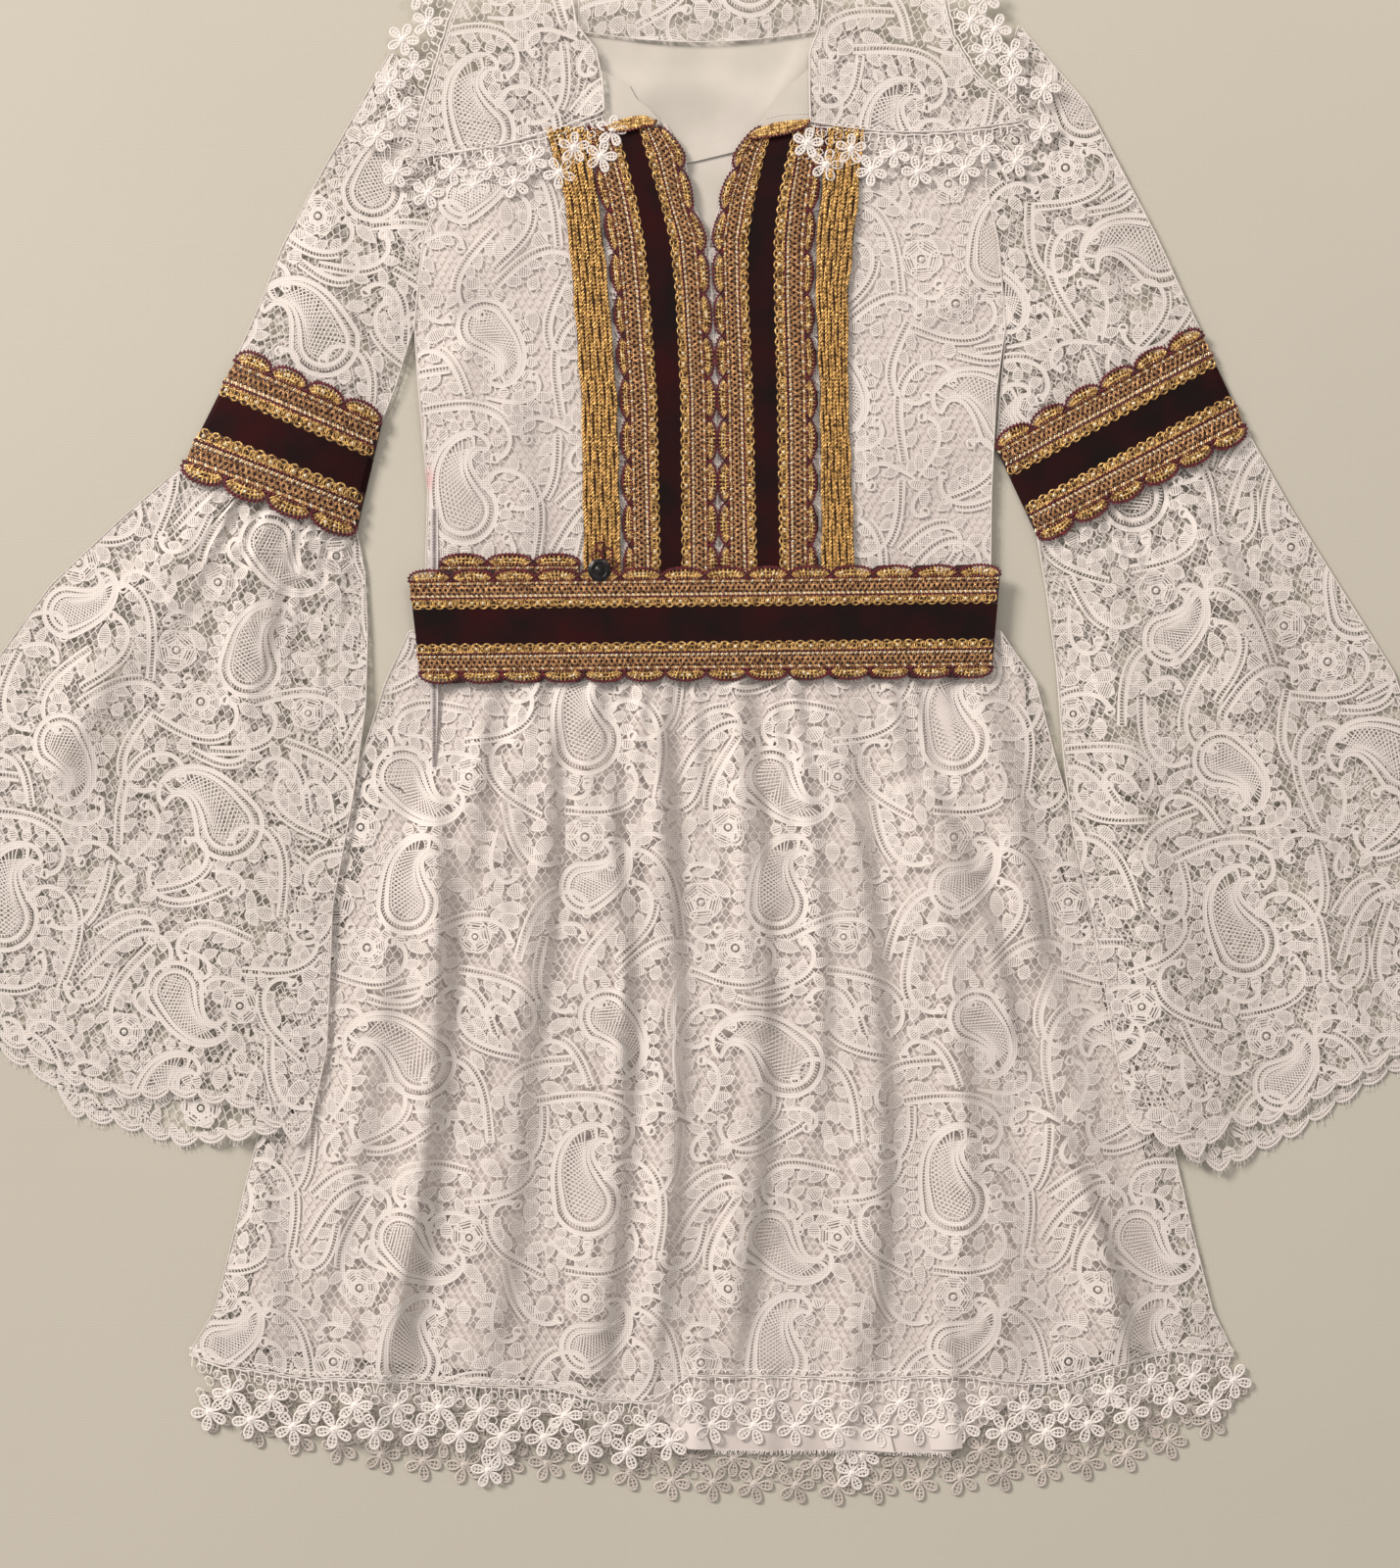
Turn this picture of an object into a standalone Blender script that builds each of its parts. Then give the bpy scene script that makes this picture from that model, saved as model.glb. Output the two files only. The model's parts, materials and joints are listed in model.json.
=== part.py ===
"""Lace folk dress with bell sleeves, laid flat on its back.

The dress lies with its back on the surface, collar towards +Y, hem towards -Y and its
front facing +Z. Every cut piece is its own wall of cloth, stacked with a small gap to the
piece below. Sizes in this file are in millimetres; the meshes are made in metres.
"""
import math

import bpy

MM = 0.001

# Thickness of each cloth, and the air that is left between two pieces
LACE = 1.2
SATIN = 1.0
TRIM = 1.0
GAP = 0.3

# Height of the underside of each layer, from the surface up
BACK_LACE_Z = 0.0
BACK_LINING_Z = BACK_LACE_Z + LACE + GAP
FRONT_LINING_Z = BACK_LINING_Z + SATIN + GAP
FRONT_LACE_Z = FRONT_LINING_Z + SATIN + GAP
TRIM_Z = FRONT_LACE_Z + LACE + GAP
COLLAR_Z = TRIM_Z + TRIM + GAP
BELT_Z = TRIM_Z + TRIM + GAP
SLEEVE_FRONT_Z = BACK_LACE_Z + LACE + GAP

WAIST_Y = 70.0
SEAM = 0.5 * GAP

# Colour, roughness and metallic value of each finish
FINISHES = {
    "lace": ((0.86, 0.83, 0.81), 0.75, 0.0),
    "daisy_trim": ((0.88, 0.86, 0.84), 0.70, 0.0),
    "satin": ((0.90, 0.88, 0.83), 0.40, 0.0),
    "velvet": ((0.06, 0.004, 0.01), 0.95, 0.0),
    "gold_braid": ((0.52, 0.33, 0.09), 0.38, 0.8),
    "gold_cord": ((0.58, 0.38, 0.10), 0.35, 0.8),
    "zip_tape": ((0.74, 0.72, 0.72), 0.55, 0.0),
    "press_stud": ((0.01, 0.01, 0.012), 0.30, 0.5),
}

# Outline of the bodice: height on the dress, left edge, right edge
BODICE_SECTIONS = (
    ("shoulder", 411.0, -179.0, 186.0),
    ("upper_armhole", 360.0, -170.0, 183.0),
    ("mid_armhole", 325.0, -184.0, 191.0),
    ("underarm", 268.0, -190.0, 196.0),
    ("chest", 225.0, -187.0, 190.0),
    ("ribs", 160.0, -181.0, 187.0),
    ("waist", WAIST_Y + SEAM, -184.0, 186.0),
)
NECK_SEAM_Y = 478.0
NECK_LEFT_X = -86.0
NECK_RIGHT_X = 77.0

# Front neckline and centre seam: height, edge of the left front, edge of the right front
FRONT_EDGES = (
    ("neck_point", 478.0, -90.0, 81.0),
    ("collar_turn", 464.0, -88.0, 79.0),
    ("collar_fold", 448.0, -72.0, 68.5),
    ("collar_end", 414.0, -66.0, 68.0),
    ("neck_edge", 404.0, -36.0, 58.0),
    ("neck_curve", 396.0, -25.0, 34.0),
    ("slit_side", 380.0, -13.0, 18.0),
    ("slit_mid", 356.0, -11.0, 12.5),
    ("slit_foot", 325.0, 1.8, 2.6),
    ("centre_chest", 270.0, 4.8, 5.6),
    ("centre_ribs", 160.0, 7.6, 8.4),
    ("centre_waist", WAIST_Y + SEAM, 7.6, 8.4),
)
FACING_SHOWS = 5.0
SLOPED_DROP = 9.0

# Skirt outline: height, left edge, right edge
SKIRT_SECTIONS = (
    ("waist", WAIST_Y - SEAM, -193.0, 192.0),
    ("gathers", 36.0, -209.0, 216.0),
    ("hip", -21.0, -227.0, 231.0),
    ("seat", -75.0, -241.0, 248.0),
    ("thigh", -150.0, -264.0, 274.0),
    ("sleeve_end", -250.0, -290.0, 302.0),
    ("low_skirt", -320.0, -307.0, 318.0),
    ("above_hem", -375.0, -321.0, 332.0),
)
# Seam line of the lace hem, left to right: across, height
FRONT_HEM = (
    (-338.0, -403.0), (-320.0, -410.0), (-290.0, -414.0), (-262.0, -419.0), (-218.0, -419.0),
    (-179.0, -421.0), (-136.0, -423.0), (-96.0, -425.0), (-65.0, -433.0), (-30.0, -434.0),
    (-13.0, -416.0), (42.0, -417.0), (111.0, -419.0), (164.0, -416.0), (206.0, -422.0),
    (238.0, -420.0), (273.0, -408.0), (307.0, -400.0), (346.0, -404.0),
)
BACK_HEM = (
    (-334.0, -405.0), (-290.0, -421.0), (-250.0, -428.0), (-217.0, -436.0), (-167.0, -444.0),
    (-110.0, -442.0), (-67.0, -443.0), (-28.0, -454.0), (31.0, -456.0), (97.0, -458.0),
    (144.0, -454.0), (218.0, -446.0), (268.0, -438.0), (296.0, -431.0), (344.0, -408.0),
)
LINING_INSET = 20.0
LINING_HEM = (
    (-300.0, -398.0), (-200.0, -410.0), (-60.0, -424.0), (-19.0, -464.0), (20.0, -468.0),
    (90.0, -466.0), (150.0, -470.0), (186.0, -464.0), (200.0, -412.0), (313.0, -392.0),
)

# Gathers and creases that lie on the front of the skirt: top point, foot point, width, height
SKIRT_FOLDS = (
    ("zip_crease", (-179.0, -26.0), (-222.0, -430.0), 44.0, 7.0),
    ("left_soft", (-128.0, 20.0), (-150.0, -430.0), 40.0, 4.0),
    ("left_gather", (-104.0, 34.0), (-104.0, -120.0), 15.0, 5.0),
    ("left_roll", (-82.0, 10.0), (-78.0, -436.0), 26.0, 6.0),
    ("narrow_gather", (-54.0, 34.0), (-44.0, -200.0), 12.0, 7.0),
    ("centre_left", (-36.0, 34.0), (-26.0, -436.0), 22.0, 6.0),
    ("centre_gather", (22.0, 34.0), (16.0, -418.0), 18.0, 6.0),
    ("right_gather", (48.0, 34.0), (52.0, -160.0), 14.0, 4.0),
    ("right_soft", (74.0, 30.0), (98.0, -418.0), 34.0, 4.0),
    ("hip_gather", (118.0, 34.0), (142.0, -200.0), 16.0, 4.0),
    ("right_crease", (145.0, -30.0), (200.0, -420.0), 30.0, 6.0),
    ("lining_crease", (190.0, 0.0), (276.0, -412.0), 26.0, 7.0),
    ("side_gather", (172.0, 34.0), (236.0, -230.0), 16.0, 4.0),
)

# Sleeves above the band, shoulder to elbow: outer edge point, inner edge point, crown
LEFT_SLEEVE = (
    ("cap", (-205.0, 450.0), (-179.6, 411.0), 0.0),
    ("cap_side", (-246.0, 378.0), (-170.6, 360.0), 1.0),
    ("mid_armhole", (-277.0, 320.0), (-184.6, 325.0), 4.0),
    ("underarm", (-290.0, 286.0), (-190.6, 268.0), 5.0),
    ("upper_arm", (-300.0, 263.0), (-203.0, 228.0), 5.0),
    ("band", (-306.9, 248.0), (-211.9, 206.0), 5.0),
)
RIGHT_SLEEVE = (
    ("cap", (205.0, 466.0), (186.6, 411.0), 0.0),
    ("cap_side", (249.0, 415.0), (183.6, 360.0), 1.0),
    ("mid_armhole", (275.0, 366.0), (191.6, 325.0), 3.0),
    ("underarm", (294.0, 330.0), (196.6, 268.0), 4.0),
    ("upper_arm", (311.0, 293.0), (193.2, 225.0), 3.5),
    ("band", (324.8, 264.0), (190.8, 190.2), 3.0),
)

# Elbow bands: corner points, crown of the front half, number of scallops on each edge
LEFT_BAND = {
    "top_outer": (-307.0, 247.0), "top_inner": (-212.0, 205.0),
    "foot_outer": (-341.0, 179.0), "foot_inner": (-228.0, 136.0), "crown": 7.0, "shells": 4,
}
RIGHT_BAND = {
    "top_outer": (325.0, 263.0), "top_inner": (190.5, 189.0),
    "foot_outer": (353.0, 203.0), "foot_inner": (217.0, 132.0), "crown": 4.5, "shells": 6,
}
BAND_BRAID = 0.34
BAND_SLOT = 2.4
FOLD_SHARE = 0.03
SHELL_DEPTH = 7.0
SHELL_STEPS = 3

# Bells below the band, elbow to hem: outer edge point, inner edge point, crown, lift
LEFT_BELL = (
    ("band", (-341.4, 178.2), (-228.4, 135.2), 4.0, 0.0),
    ("gathers", (-381.0, 144.0), (-223.0, 108.0), 5.0, 0.0),
    ("upper", (-428.0, 100.0), (-221.0, 70.0), 6.0, 0.5),
    ("flare", (-464.0, 50.0), (-222.0, 20.0), 5.0, 3.0),
    ("middle", (-482.0, -20.0), (-230.0, -39.0), 4.0, 5.0),
    ("lower", (-493.0, -90.0), (-243.0, -110.0), 3.0, 6.4),
    ("above_hem", (-499.0, -150.0), (-247.0, -205.0), 2.0, 6.4),
)
LEFT_BELL_HEM = (
    (-499.0, -172.0), (-461.0, -193.0), (-433.0, -204.0), (-412.0, -222.0), (-370.0, -231.0),
    (-346.0, -228.0), (-298.0, -236.0), (-283.0, -247.0), (-266.0, -259.0), (-257.0, -250.0),
)
LEFT_BELL_BACK_HEM = (
    (-499.0, -180.0), (-461.0, -201.0), (-430.0, -220.0), (-412.0, -243.0), (-383.0, -249.0),
    (-345.0, -261.0), (-306.0, -257.0), (-283.0, -252.0), (-257.0, -246.0),
)
RIGHT_BELL = (
    ("band", (353.4, 202.2), (217.4, 131.2), 2.5, 0.0),
    ("gathers", (383.0, 150.0), (224.0, 92.0), 3.5, 0.0),
    ("upper", (415.0, 99.0), (230.0, 46.0), 5.0, 0.5),
    ("flare", (451.0, 42.0), (234.0, -10.0), 5.0, 3.0),
    ("middle", (474.0, -30.0), (240.0, -62.0), 4.0, 5.0),
    ("lower", (490.0, -100.0), (253.0, -120.0), 3.0, 6.4),
    ("above_hem", (499.0, -150.0), (267.0, -200.0), 2.0, 6.4),
)
RIGHT_BELL_HEM = (
    (275.0, -246.0), (293.0, -256.0), (322.0, -268.0), (344.0, -245.0), (360.0, -249.0),
    (384.0, -241.0), (401.0, -230.0), (434.0, -214.0), (454.0, -201.0), (499.0, -184.0),
)
RIGHT_BELL_BACK_HEM = (
    (275.0, -240.0), (293.0, -252.0), (322.0, -272.0), (337.0, -277.0), (360.0, -266.0),
    (384.0, -256.0), (434.0, -222.0), (499.0, -190.0),
)
LEFT_BELL_FOLDS = (
    ("inner_crease", (-285.0, 150.0), (-300.0, 14.0), 26.0, 6.0),
    ("inner_low", (-296.0, 40.0), (-330.0, -235.0), 40.0, 4.0),
    ("outer_crease", (-360.0, 120.0), (-440.0, -60.0), 30.0, 6.0),
    ("edge_gather", (-250.0, 130.0), (-244.0, 40.0), 16.0, 4.0),
    ("mid_gather", (-318.0, 160.0), (-360.0, 60.0), 18.0, 5.0),
)
RIGHT_BELL_FOLDS = (
    ("outer_crease", (305.0, 164.0), (375.0, 18.0), 28.0, 6.0),
    ("outer_low", (360.0, 50.0), (430.0, -200.0), 40.0, 4.0),
    ("inner_crease", (255.0, 120.0), (282.0, -80.0), 24.0, 5.0),
    ("inner_low", (276.0, -40.0), (323.0, -262.0), 30.0, 5.0),
    ("mid_gather", (335.0, 176.0), (400.0, 80.0), 18.0, 5.0),
)

# Reach of the lifted part of a bell from its inner edge, and the ramp down beyond it
LIFT_REACH = 42.0
LIFT_RAMP = 55.0
BELL_SCALLOPS = 13
BELL_SCALLOP_DEPTH = 5.0

# Collar leaves, neck to point: outer edge point, inner edge point
LEFT_COLLAR = (
    ("nape", (-156.0, 488.0), (-88.0, 488.0)),
    ("turn", (-165.0, 470.0), (-84.0, 464.0)),
    ("fold", (-173.0, 444.0), (-71.5, 448.0)),
    ("breast", (-181.0, 418.0), (-67.0, 428.0)),
    ("point", (-191.0, 378.0), (-66.0, 408.0)),
)
RIGHT_COLLAR = (
    ("nape", (154.0, 488.0), (78.0, 488.0)),
    ("turn", (161.0, 458.0), (74.0, 461.0)),
    ("fold", (176.0, 432.0), (68.0, 446.0)),
    ("breast", (192.0, 418.0), (68.0, 426.0)),
    ("point", (207.0, 402.0), (68.5, 401.0)),
)
COLLAR_BOW = {"left": 5.5, "right": 7.0}
COLLAR_SEAM = 1.4
ROLL_THICKNESS = 3.0
ROLL_WIDTH = 14.0
BACK_ROLL = {"left": -82.5, "right": 73.5, "foot": 461.0, "sag": 7.0, "top": 504.0, "height": 5.0}

# Placket, neck to waist: height, then the x of each edge from left to right. The edges are
# cord, outer braid, velvet, inner braid, then inner braid, velvet, outer braid, cord
PLACKET_EDGES = (
    "cord_l0", "cord_l1", "braid_l0", "velvet_l0", "velvet_l1", "braid_l1",
    "braid_r0", "velvet_r0", "velvet_r1", "braid_r1", "cord_r0", "cord_r1",
)
PLACKET = (
    (398.0, -105.0, -79.0, -77.0, -58.0, -43.5, -30.0, 36.0, 44.0, 58.0, 76.0, 80.0, 104.0),
    (380.0, -100.0, -74.3, -71.5, -52.5, -38.3, -19.0, 24.0, 38.8, 53.7, 72.0, 78.0, 102.3),
    (352.0, -92.0, -70.5, -64.2, -45.2, -30.0, -14.0, 15.0, 32.3, 47.8, 68.5, 75.3, 99.8),
    (325.0, -89.3, -66.9, -59.0, -40.0, -23.2, -4.8, 10.0, 28.0, 45.0, 66.0, 72.4, 96.8),
    (291.0, -86.0, -63.3, -55.6, -36.6, -19.5, -2.5, 11.0, 28.0, 45.0, 65.3, 72.0, 93.3),
    (221.0, -81.0, -57.8, -50.6, -31.6, -16.0, 1.5, 13.3, 31.0, 47.0, 67.5, 75.0, 93.3),
    (98.0, -79.0, -54.5, -48.0, -29.0, -15.0, 3.0, 15.0, 34.0, 49.0, 68.0, 76.0, 98.0),
)
OUTER_SHELL_DEPTH = 6.5
INNER_SHELL_DEPTH = 5.0
SHELL_PITCH = 28.0

# Belt: corner points of the closed loop, laid flat on the waist
BELT = {
    "top_left": (-193.0, 102.0), "top_right": (192.0, 106.0),
    "foot_left": (-186.0, 41.0), "foot_right": (187.0, 45.0), "shells": 14,
}
BELT_BRAID = 19.0
BELT_SLOT = 0.6
WAIST_TRIM = {"left": -173.0, "right": -82.0, "foot": 92.0, "top": 113.0, "shells": 3}

# Daisy trim: one repeat holds a whole flower below and two halves above
DAISY_REPEAT = 27.0
DAISY_DEPTH = 45.0
COLLAR_DAISY_DEPTH = 34.0
CORNER_EASE = 22.0
# Right half of a lower flower, from its upper petal down, and of an upper flower
LOWER_DAISY = ((3.0, 20.5), (5.5, 22.5), (6.5, 28.0), (10.5, 25.5), (12.0, 27.5), (11.0, 34.5),
               (5.0, 36.0), (6.5, 45.0), (0.0, 40.0))
UPPER_DAISY = ((4.0, 6.0), (3.0, 13.0), (3.0, 20.5), (5.5, 22.5), (9.0, 18.5), (10.5, 25.5), (12.0, 27.5))

ZIP = {"x": -177.0, "top": 150.0, "foot": -21.0, "width": 5.0, "thickness": 0.9}
STUD = {"centre": (-69.0, 108.5), "radius": 7.5, "rim": 1.5, "knob_radius": 2.6, "knob": 3.0}


def smooth(t):
    """Ease from 0 to 1."""
    t = min(max(t, 0.0), 1.0)
    return t * t * (3.0 - 2.0 * t)


def mix(a, b, t):
    return a + (b - a) * t


def mix_point(a, b, t):
    return tuple(mix(p, q, t) for p, q in zip(a, b))


def along(points, x):
    """Height of a polyline of (x, y) points at x."""
    points = sorted(points)
    if x <= points[0][0]:
        return points[0][1]
    for (x0, y0), (x1, y1) in zip(points, points[1:]):
        if x <= x1:
            return mix(y0, y1, (x - x0) / (x1 - x0))
    return points[-1][1]


def ridge(x, y, top, foot, width, height):
    """A soft fold of cloth between two points, in height above the layer below."""
    length = math.hypot(foot[0] - top[0], foot[1] - top[1])
    ux, uy = (foot[0] - top[0]) / length, (foot[1] - top[1]) / length
    run = (x - top[0]) * ux + (y - top[1]) * uy
    off = abs((x - top[0]) * uy - (y - top[1]) * ux)
    if run < 0.0 or run > length or off > width:
        return 0.0
    fade = smooth(run / 40.0) * smooth((length - run) / 60.0 + 0.35)
    return height * fade * 0.5 * (1.0 + math.cos(math.pi * off / width))


def folds_at(folds, x, y):
    """The highest of the folds at a point, so that two never add up."""
    return max(ridge(x, y, *fold[1:]) for fold in folds)


def finish_material(name):
    """A plain Principled material with the finish's colour, made once."""
    material = bpy.data.materials.get(name)
    if material is None:
        colour, roughness, metallic = FINISHES[name]
        material = bpy.data.materials.new(name)
        material.use_nodes = True
        shader = material.node_tree.nodes["Principled BSDF"]
        shader.inputs["Base Color"].default_value = (*colour, 1.0)
        shader.inputs["Roughness"].default_value = roughness
        shader.inputs["Metallic"].default_value = metallic
    return material


def add_object(name, vertices, faces, finish):
    """One named solid from points in millimetres."""
    mesh = bpy.data.meshes.new(name)
    mesh.from_pydata([(x * MM, y * MM, z * MM) for x, y, z in vertices], [], faces)
    mesh.materials.append(finish_material(finish))
    mesh.shade_smooth()
    mesh.set_sharp_from_angle(angle=math.radians(40.0))
    solid = bpy.data.objects.new(name, mesh)
    bpy.context.collection.objects.link(solid)
    return solid


def signed_area(points):
    return 0.5 * sum(a[0] * b[1] - b[0] * a[1] for a, b in zip(points, points[1:] + points[:1]))


def add_wall(name, points, faces, under, thickness, finish):
    """A wall of cloth: flat faces over a list of (x, y), from the underside up.

    under and thickness are a number, or a list with one number for each point.
    """
    count = len(points)
    low = under if isinstance(under, list) else [under] * count
    thick = thickness if isinstance(thickness, list) else [thickness] * count
    vertices = [(x, y, z) for (x, y), z in zip(points, low)]
    vertices += [(x, y, z + t) for (x, y), z, t in zip(points, low, thick)]
    upward = [f if signed_area([points[i] for i in f]) > 0.0 else f[::-1] for f in faces]
    edges = {}
    solid_faces = []
    for face in upward:
        solid_faces.append([i + count for i in face])
        solid_faces.append(list(face[::-1]))
        for a, b in zip(face, face[1:] + face[:1]):
            edges[(a, b)] = True
    for a, b in edges:
        if (b, a) not in edges:
            solid_faces.append([a, b, b + count, a + count])
    return add_object(name, vertices, solid_faces, finish)


def grid_faces(rows, columns):
    """Triangles of a sheet of rows x columns points, with one slant for both sides."""
    faces = []
    for r in range(rows - 1):
        for c in range(columns - 1):
            a = r * columns + c
            faces.append((a, a + 1, a + columns))
            faces.append((a + 1, a + columns + 1, a + columns))
    return faces


def add_sheet(name, rows, under, thickness, finish):
    """A cloth wall from rows of (x, y) points of equal length."""
    points = [p for row in rows for p in row]
    low = [under(x, y) if callable(under) else under for x, y in points]
    return add_wall(name, points, grid_faces(len(rows), len(rows[0])), low, thickness, finish)


def level_row(y, left, right, columns):
    return [(mix(left, right, i / columns), y) for i in range(columns + 1)]


def edge_x(edges, y, column):
    """x of an edge table at a height; column 2 is the left edge and 3 the right."""
    return along([(row[1], row[column]) for row in edges], y)


def shoulder_y(x):
    """Top line of the bodice: neck seam in the middle, sloping to each shoulder."""
    left = BODICE_SECTIONS[0][2]
    right = BODICE_SECTIONS[0][3]
    shoulder = BODICE_SECTIONS[0][1]
    line = ((left, shoulder), (NECK_LEFT_X, NECK_SEAM_Y), (NECK_RIGHT_X, NECK_SEAM_Y), (right, shoulder))
    return along(line, x)


def bodice_back():
    """Back of the bodice in lace, and its satin lining, which shows inside the neck."""
    columns = 12
    rows = []
    left, right = BODICE_SECTIONS[0][2:]
    rows.append([(x, shoulder_y(x)) for x, _ in level_row(0.0, left, right, columns)])
    for _, y, left, right in BODICE_SECTIONS[1:]:
        rows.append(level_row(y, left, right, columns))
    add_sheet("bodice_back", rows, BACK_LACE_Z, LACE, "lace")
    add_sheet("bodice_back_lining", rows, BACK_LINING_Z, SATIN, "satin")


def front_rows(side, columns, shows=0.0):
    """Rows of one bodice front, from the shoulder down, outer edge to neckline or centre.

    The rows slope from the shoulder line to level ones; shows lets the facing stand past
    the neckline of the lace.
    """
    column = 2 if side == "left" else 3
    shoulder_y = BODICE_SECTIONS[0][1]
    slope_end = shoulder_y - SLOPED_DROP
    rows = []
    for i, edge in enumerate(FRONT_EDGES[:4]):
        start_y = shoulder_y - 0.9 * SLOPED_DROP * i / 3.0
        start = (edge_x(BODICE_SECTIONS, start_y, column), start_y)
        end = (edge[column], edge[1] + (shows if edge[0] == "collar_end" else 0.0))
        rows.append([mix_point(start, end, k / columns) for k in range(columns + 1)])
    heights = {row[1] for row in FRONT_EDGES[4:]} | {row[1] for row in BODICE_SECTIONS[1:]}
    for y in sorted(heights, reverse=True):
        start = (edge_x(BODICE_SECTIONS, min(y, slope_end), column), min(y, slope_end))
        end = (edge_x(FRONT_EDGES, y, column), y + shows * smooth((y - 385.0) / 15.0))
        rows.append([mix_point(start, end, k / columns) for k in range(columns + 1)])
    return rows


def bodice_fronts():
    """Left and right fronts in lace over their satin linings, parted by the neck slit."""
    for side in ("left", "right"):
        add_sheet("bodice_front_" + side, front_rows(side, 6), FRONT_LACE_Z, LACE, "lace")
        add_sheet("bodice_lining_" + side, front_rows(side, 6, FACING_SHOWS), FRONT_LINING_Z, SATIN, "satin")


def skirt_rows(columns, hem, inset=0.0, sections=SKIRT_SECTIONS):
    """Rows of a skirt panel from the waist seam to its hem line."""
    rows = []
    for name, y, left, right in sections:
        pull = inset * smooth((60.0 - y) / 60.0)
        rows.append(level_row(y, left + pull, right - pull, columns))
    left, right = min(hem)[0], max(hem)[0]
    rows.append([(x, along(hem, x)) for x, _ in level_row(0.0, left, right, columns)])
    return rows


def skirt_front_under(x, y):
    """Underside of the front of the skirt, turned down to the side seams."""
    left = edge_x(SKIRT_SECTIONS, y, 2)
    right = edge_x(SKIRT_SECTIONS, y, 3)
    if y < SKIRT_SECTIONS[-1][1]:
        spread = (SKIRT_SECTIONS[-1][1] - y) * 0.35
        left, right = left - spread, right + spread
    inside = min(x - left, right - x)
    down = (FRONT_LACE_Z - SLEEVE_FRONT_Z) * (1.0 - smooth(inside / 12.0)) * smooth((20.0 - y) / 60.0)
    clear = smooth((inside - 36.0) / 16.0) if y < 0.0 else 1.0
    return FRONT_LACE_Z - down + clear * folds_at(SKIRT_FOLDS, x, y)


def hem_repeats(hem):
    """Number of repeats of the daisy trim across a hem."""
    return round((max(hem)[0] - min(hem)[0]) / DAISY_REPEAT)


def skirt_panel_rows(front):
    """Rows of the front or back of the skirt, with columns that meet the trim's repeats."""
    if front:
        return skirt_rows(2 * hem_repeats(FRONT_HEM), FRONT_HEM)
    return skirt_rows(hem_repeats(BACK_HEM), BACK_HEM)


def skirt():
    """Gathered skirt: lace back and front, with a satin lining between them."""
    add_sheet("skirt_back", skirt_panel_rows(False), BACK_LACE_Z, LACE, "lace")
    add_sheet("skirt_lining_back", skirt_rows(8, LINING_HEM, LINING_INSET), BACK_LINING_Z, SATIN, "satin")
    short = [(x, max(y, -420.0)) for x, y in LINING_HEM]
    add_sheet("skirt_lining_front", skirt_rows(8, short, LINING_INSET), FRONT_LINING_Z, SATIN, "satin")
    add_sheet("skirt_front", skirt_panel_rows(True), skirt_front_under, LACE, "lace")


def sleeve_points(sections, columns):
    """Points across each section of a sleeve, outer edge to inner edge."""
    return [[mix_point(row[1], row[2], i / columns) for i in range(columns + 1)] for row in sections]


def crown(u, height):
    """Rise of the front of a tube above its two folded edges."""
    return height * math.sin(math.pi * u) ** 0.8


def upper_sleeve(side, sections, columns=10):
    """Sleeve above the band: a flat back and a crowned front, met to the bodice at the armhole."""
    rows = sleeve_points(sections, columns)
    points = [p for row in rows for p in row]
    faces = grid_faces(len(rows), columns + 1)
    add_wall("sleeve_back_" + side, points, faces, BACK_LACE_Z, LACE, "lace")
    armhole = (1.0, 1.0, 1.0, 0.9, 0.2, 0.0)
    low = []
    for r, row in enumerate(sections):
        for c in range(columns + 1):
            u = c / columns
            join = (FRONT_LACE_Z - SLEEVE_FRONT_Z) * armhole[r] * smooth((u - 0.55) / 0.45)
            low.append(SLEEVE_FRONT_Z + join + crown(u, row[3]))
    add_wall("sleeve_front_" + side, points, faces, low, LACE, "lace")


def scallop(fraction, depth):
    """Depth of a row of shells at a fraction of its pitch."""
    return depth * math.sin(math.pi * (fraction % 1.0)) ** 0.6


def corner_place(corners):
    """A function from u, v to x, y inside four corner points."""
    def place(u, v):
        top = mix_point(corners[0], corners[1], u)
        foot = mix_point(corners[2], corners[3], u)
        return mix_point(top, foot, v)
    return place


def band_rows(place, edges, shells, shell_on, shell_depth):
    """Rows of one strip of a band, one across it at each station along its length.

    edges is (start, end) in v; shell_on names the edge with shells, "start", "end" or "".
    """
    start, end = edges
    steps = SHELL_STEPS * shells
    rows = [(place(0.0, start), place(0.0, end))]
    for i in range(steps + 1):
        u = mix(FOLD_SHARE, 1.0 - FOLD_SHARE, i / steps)
        reach = scallop(i / SHELL_STEPS, shell_depth)
        first = start - (reach if shell_on == "start" else 0.0)
        last = end + (reach if shell_on == "end" else 0.0)
        rows.append((place(u, first), place(u, last)))
    rows.append((place(1.0, start), place(1.0, end)))
    return rows


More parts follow.
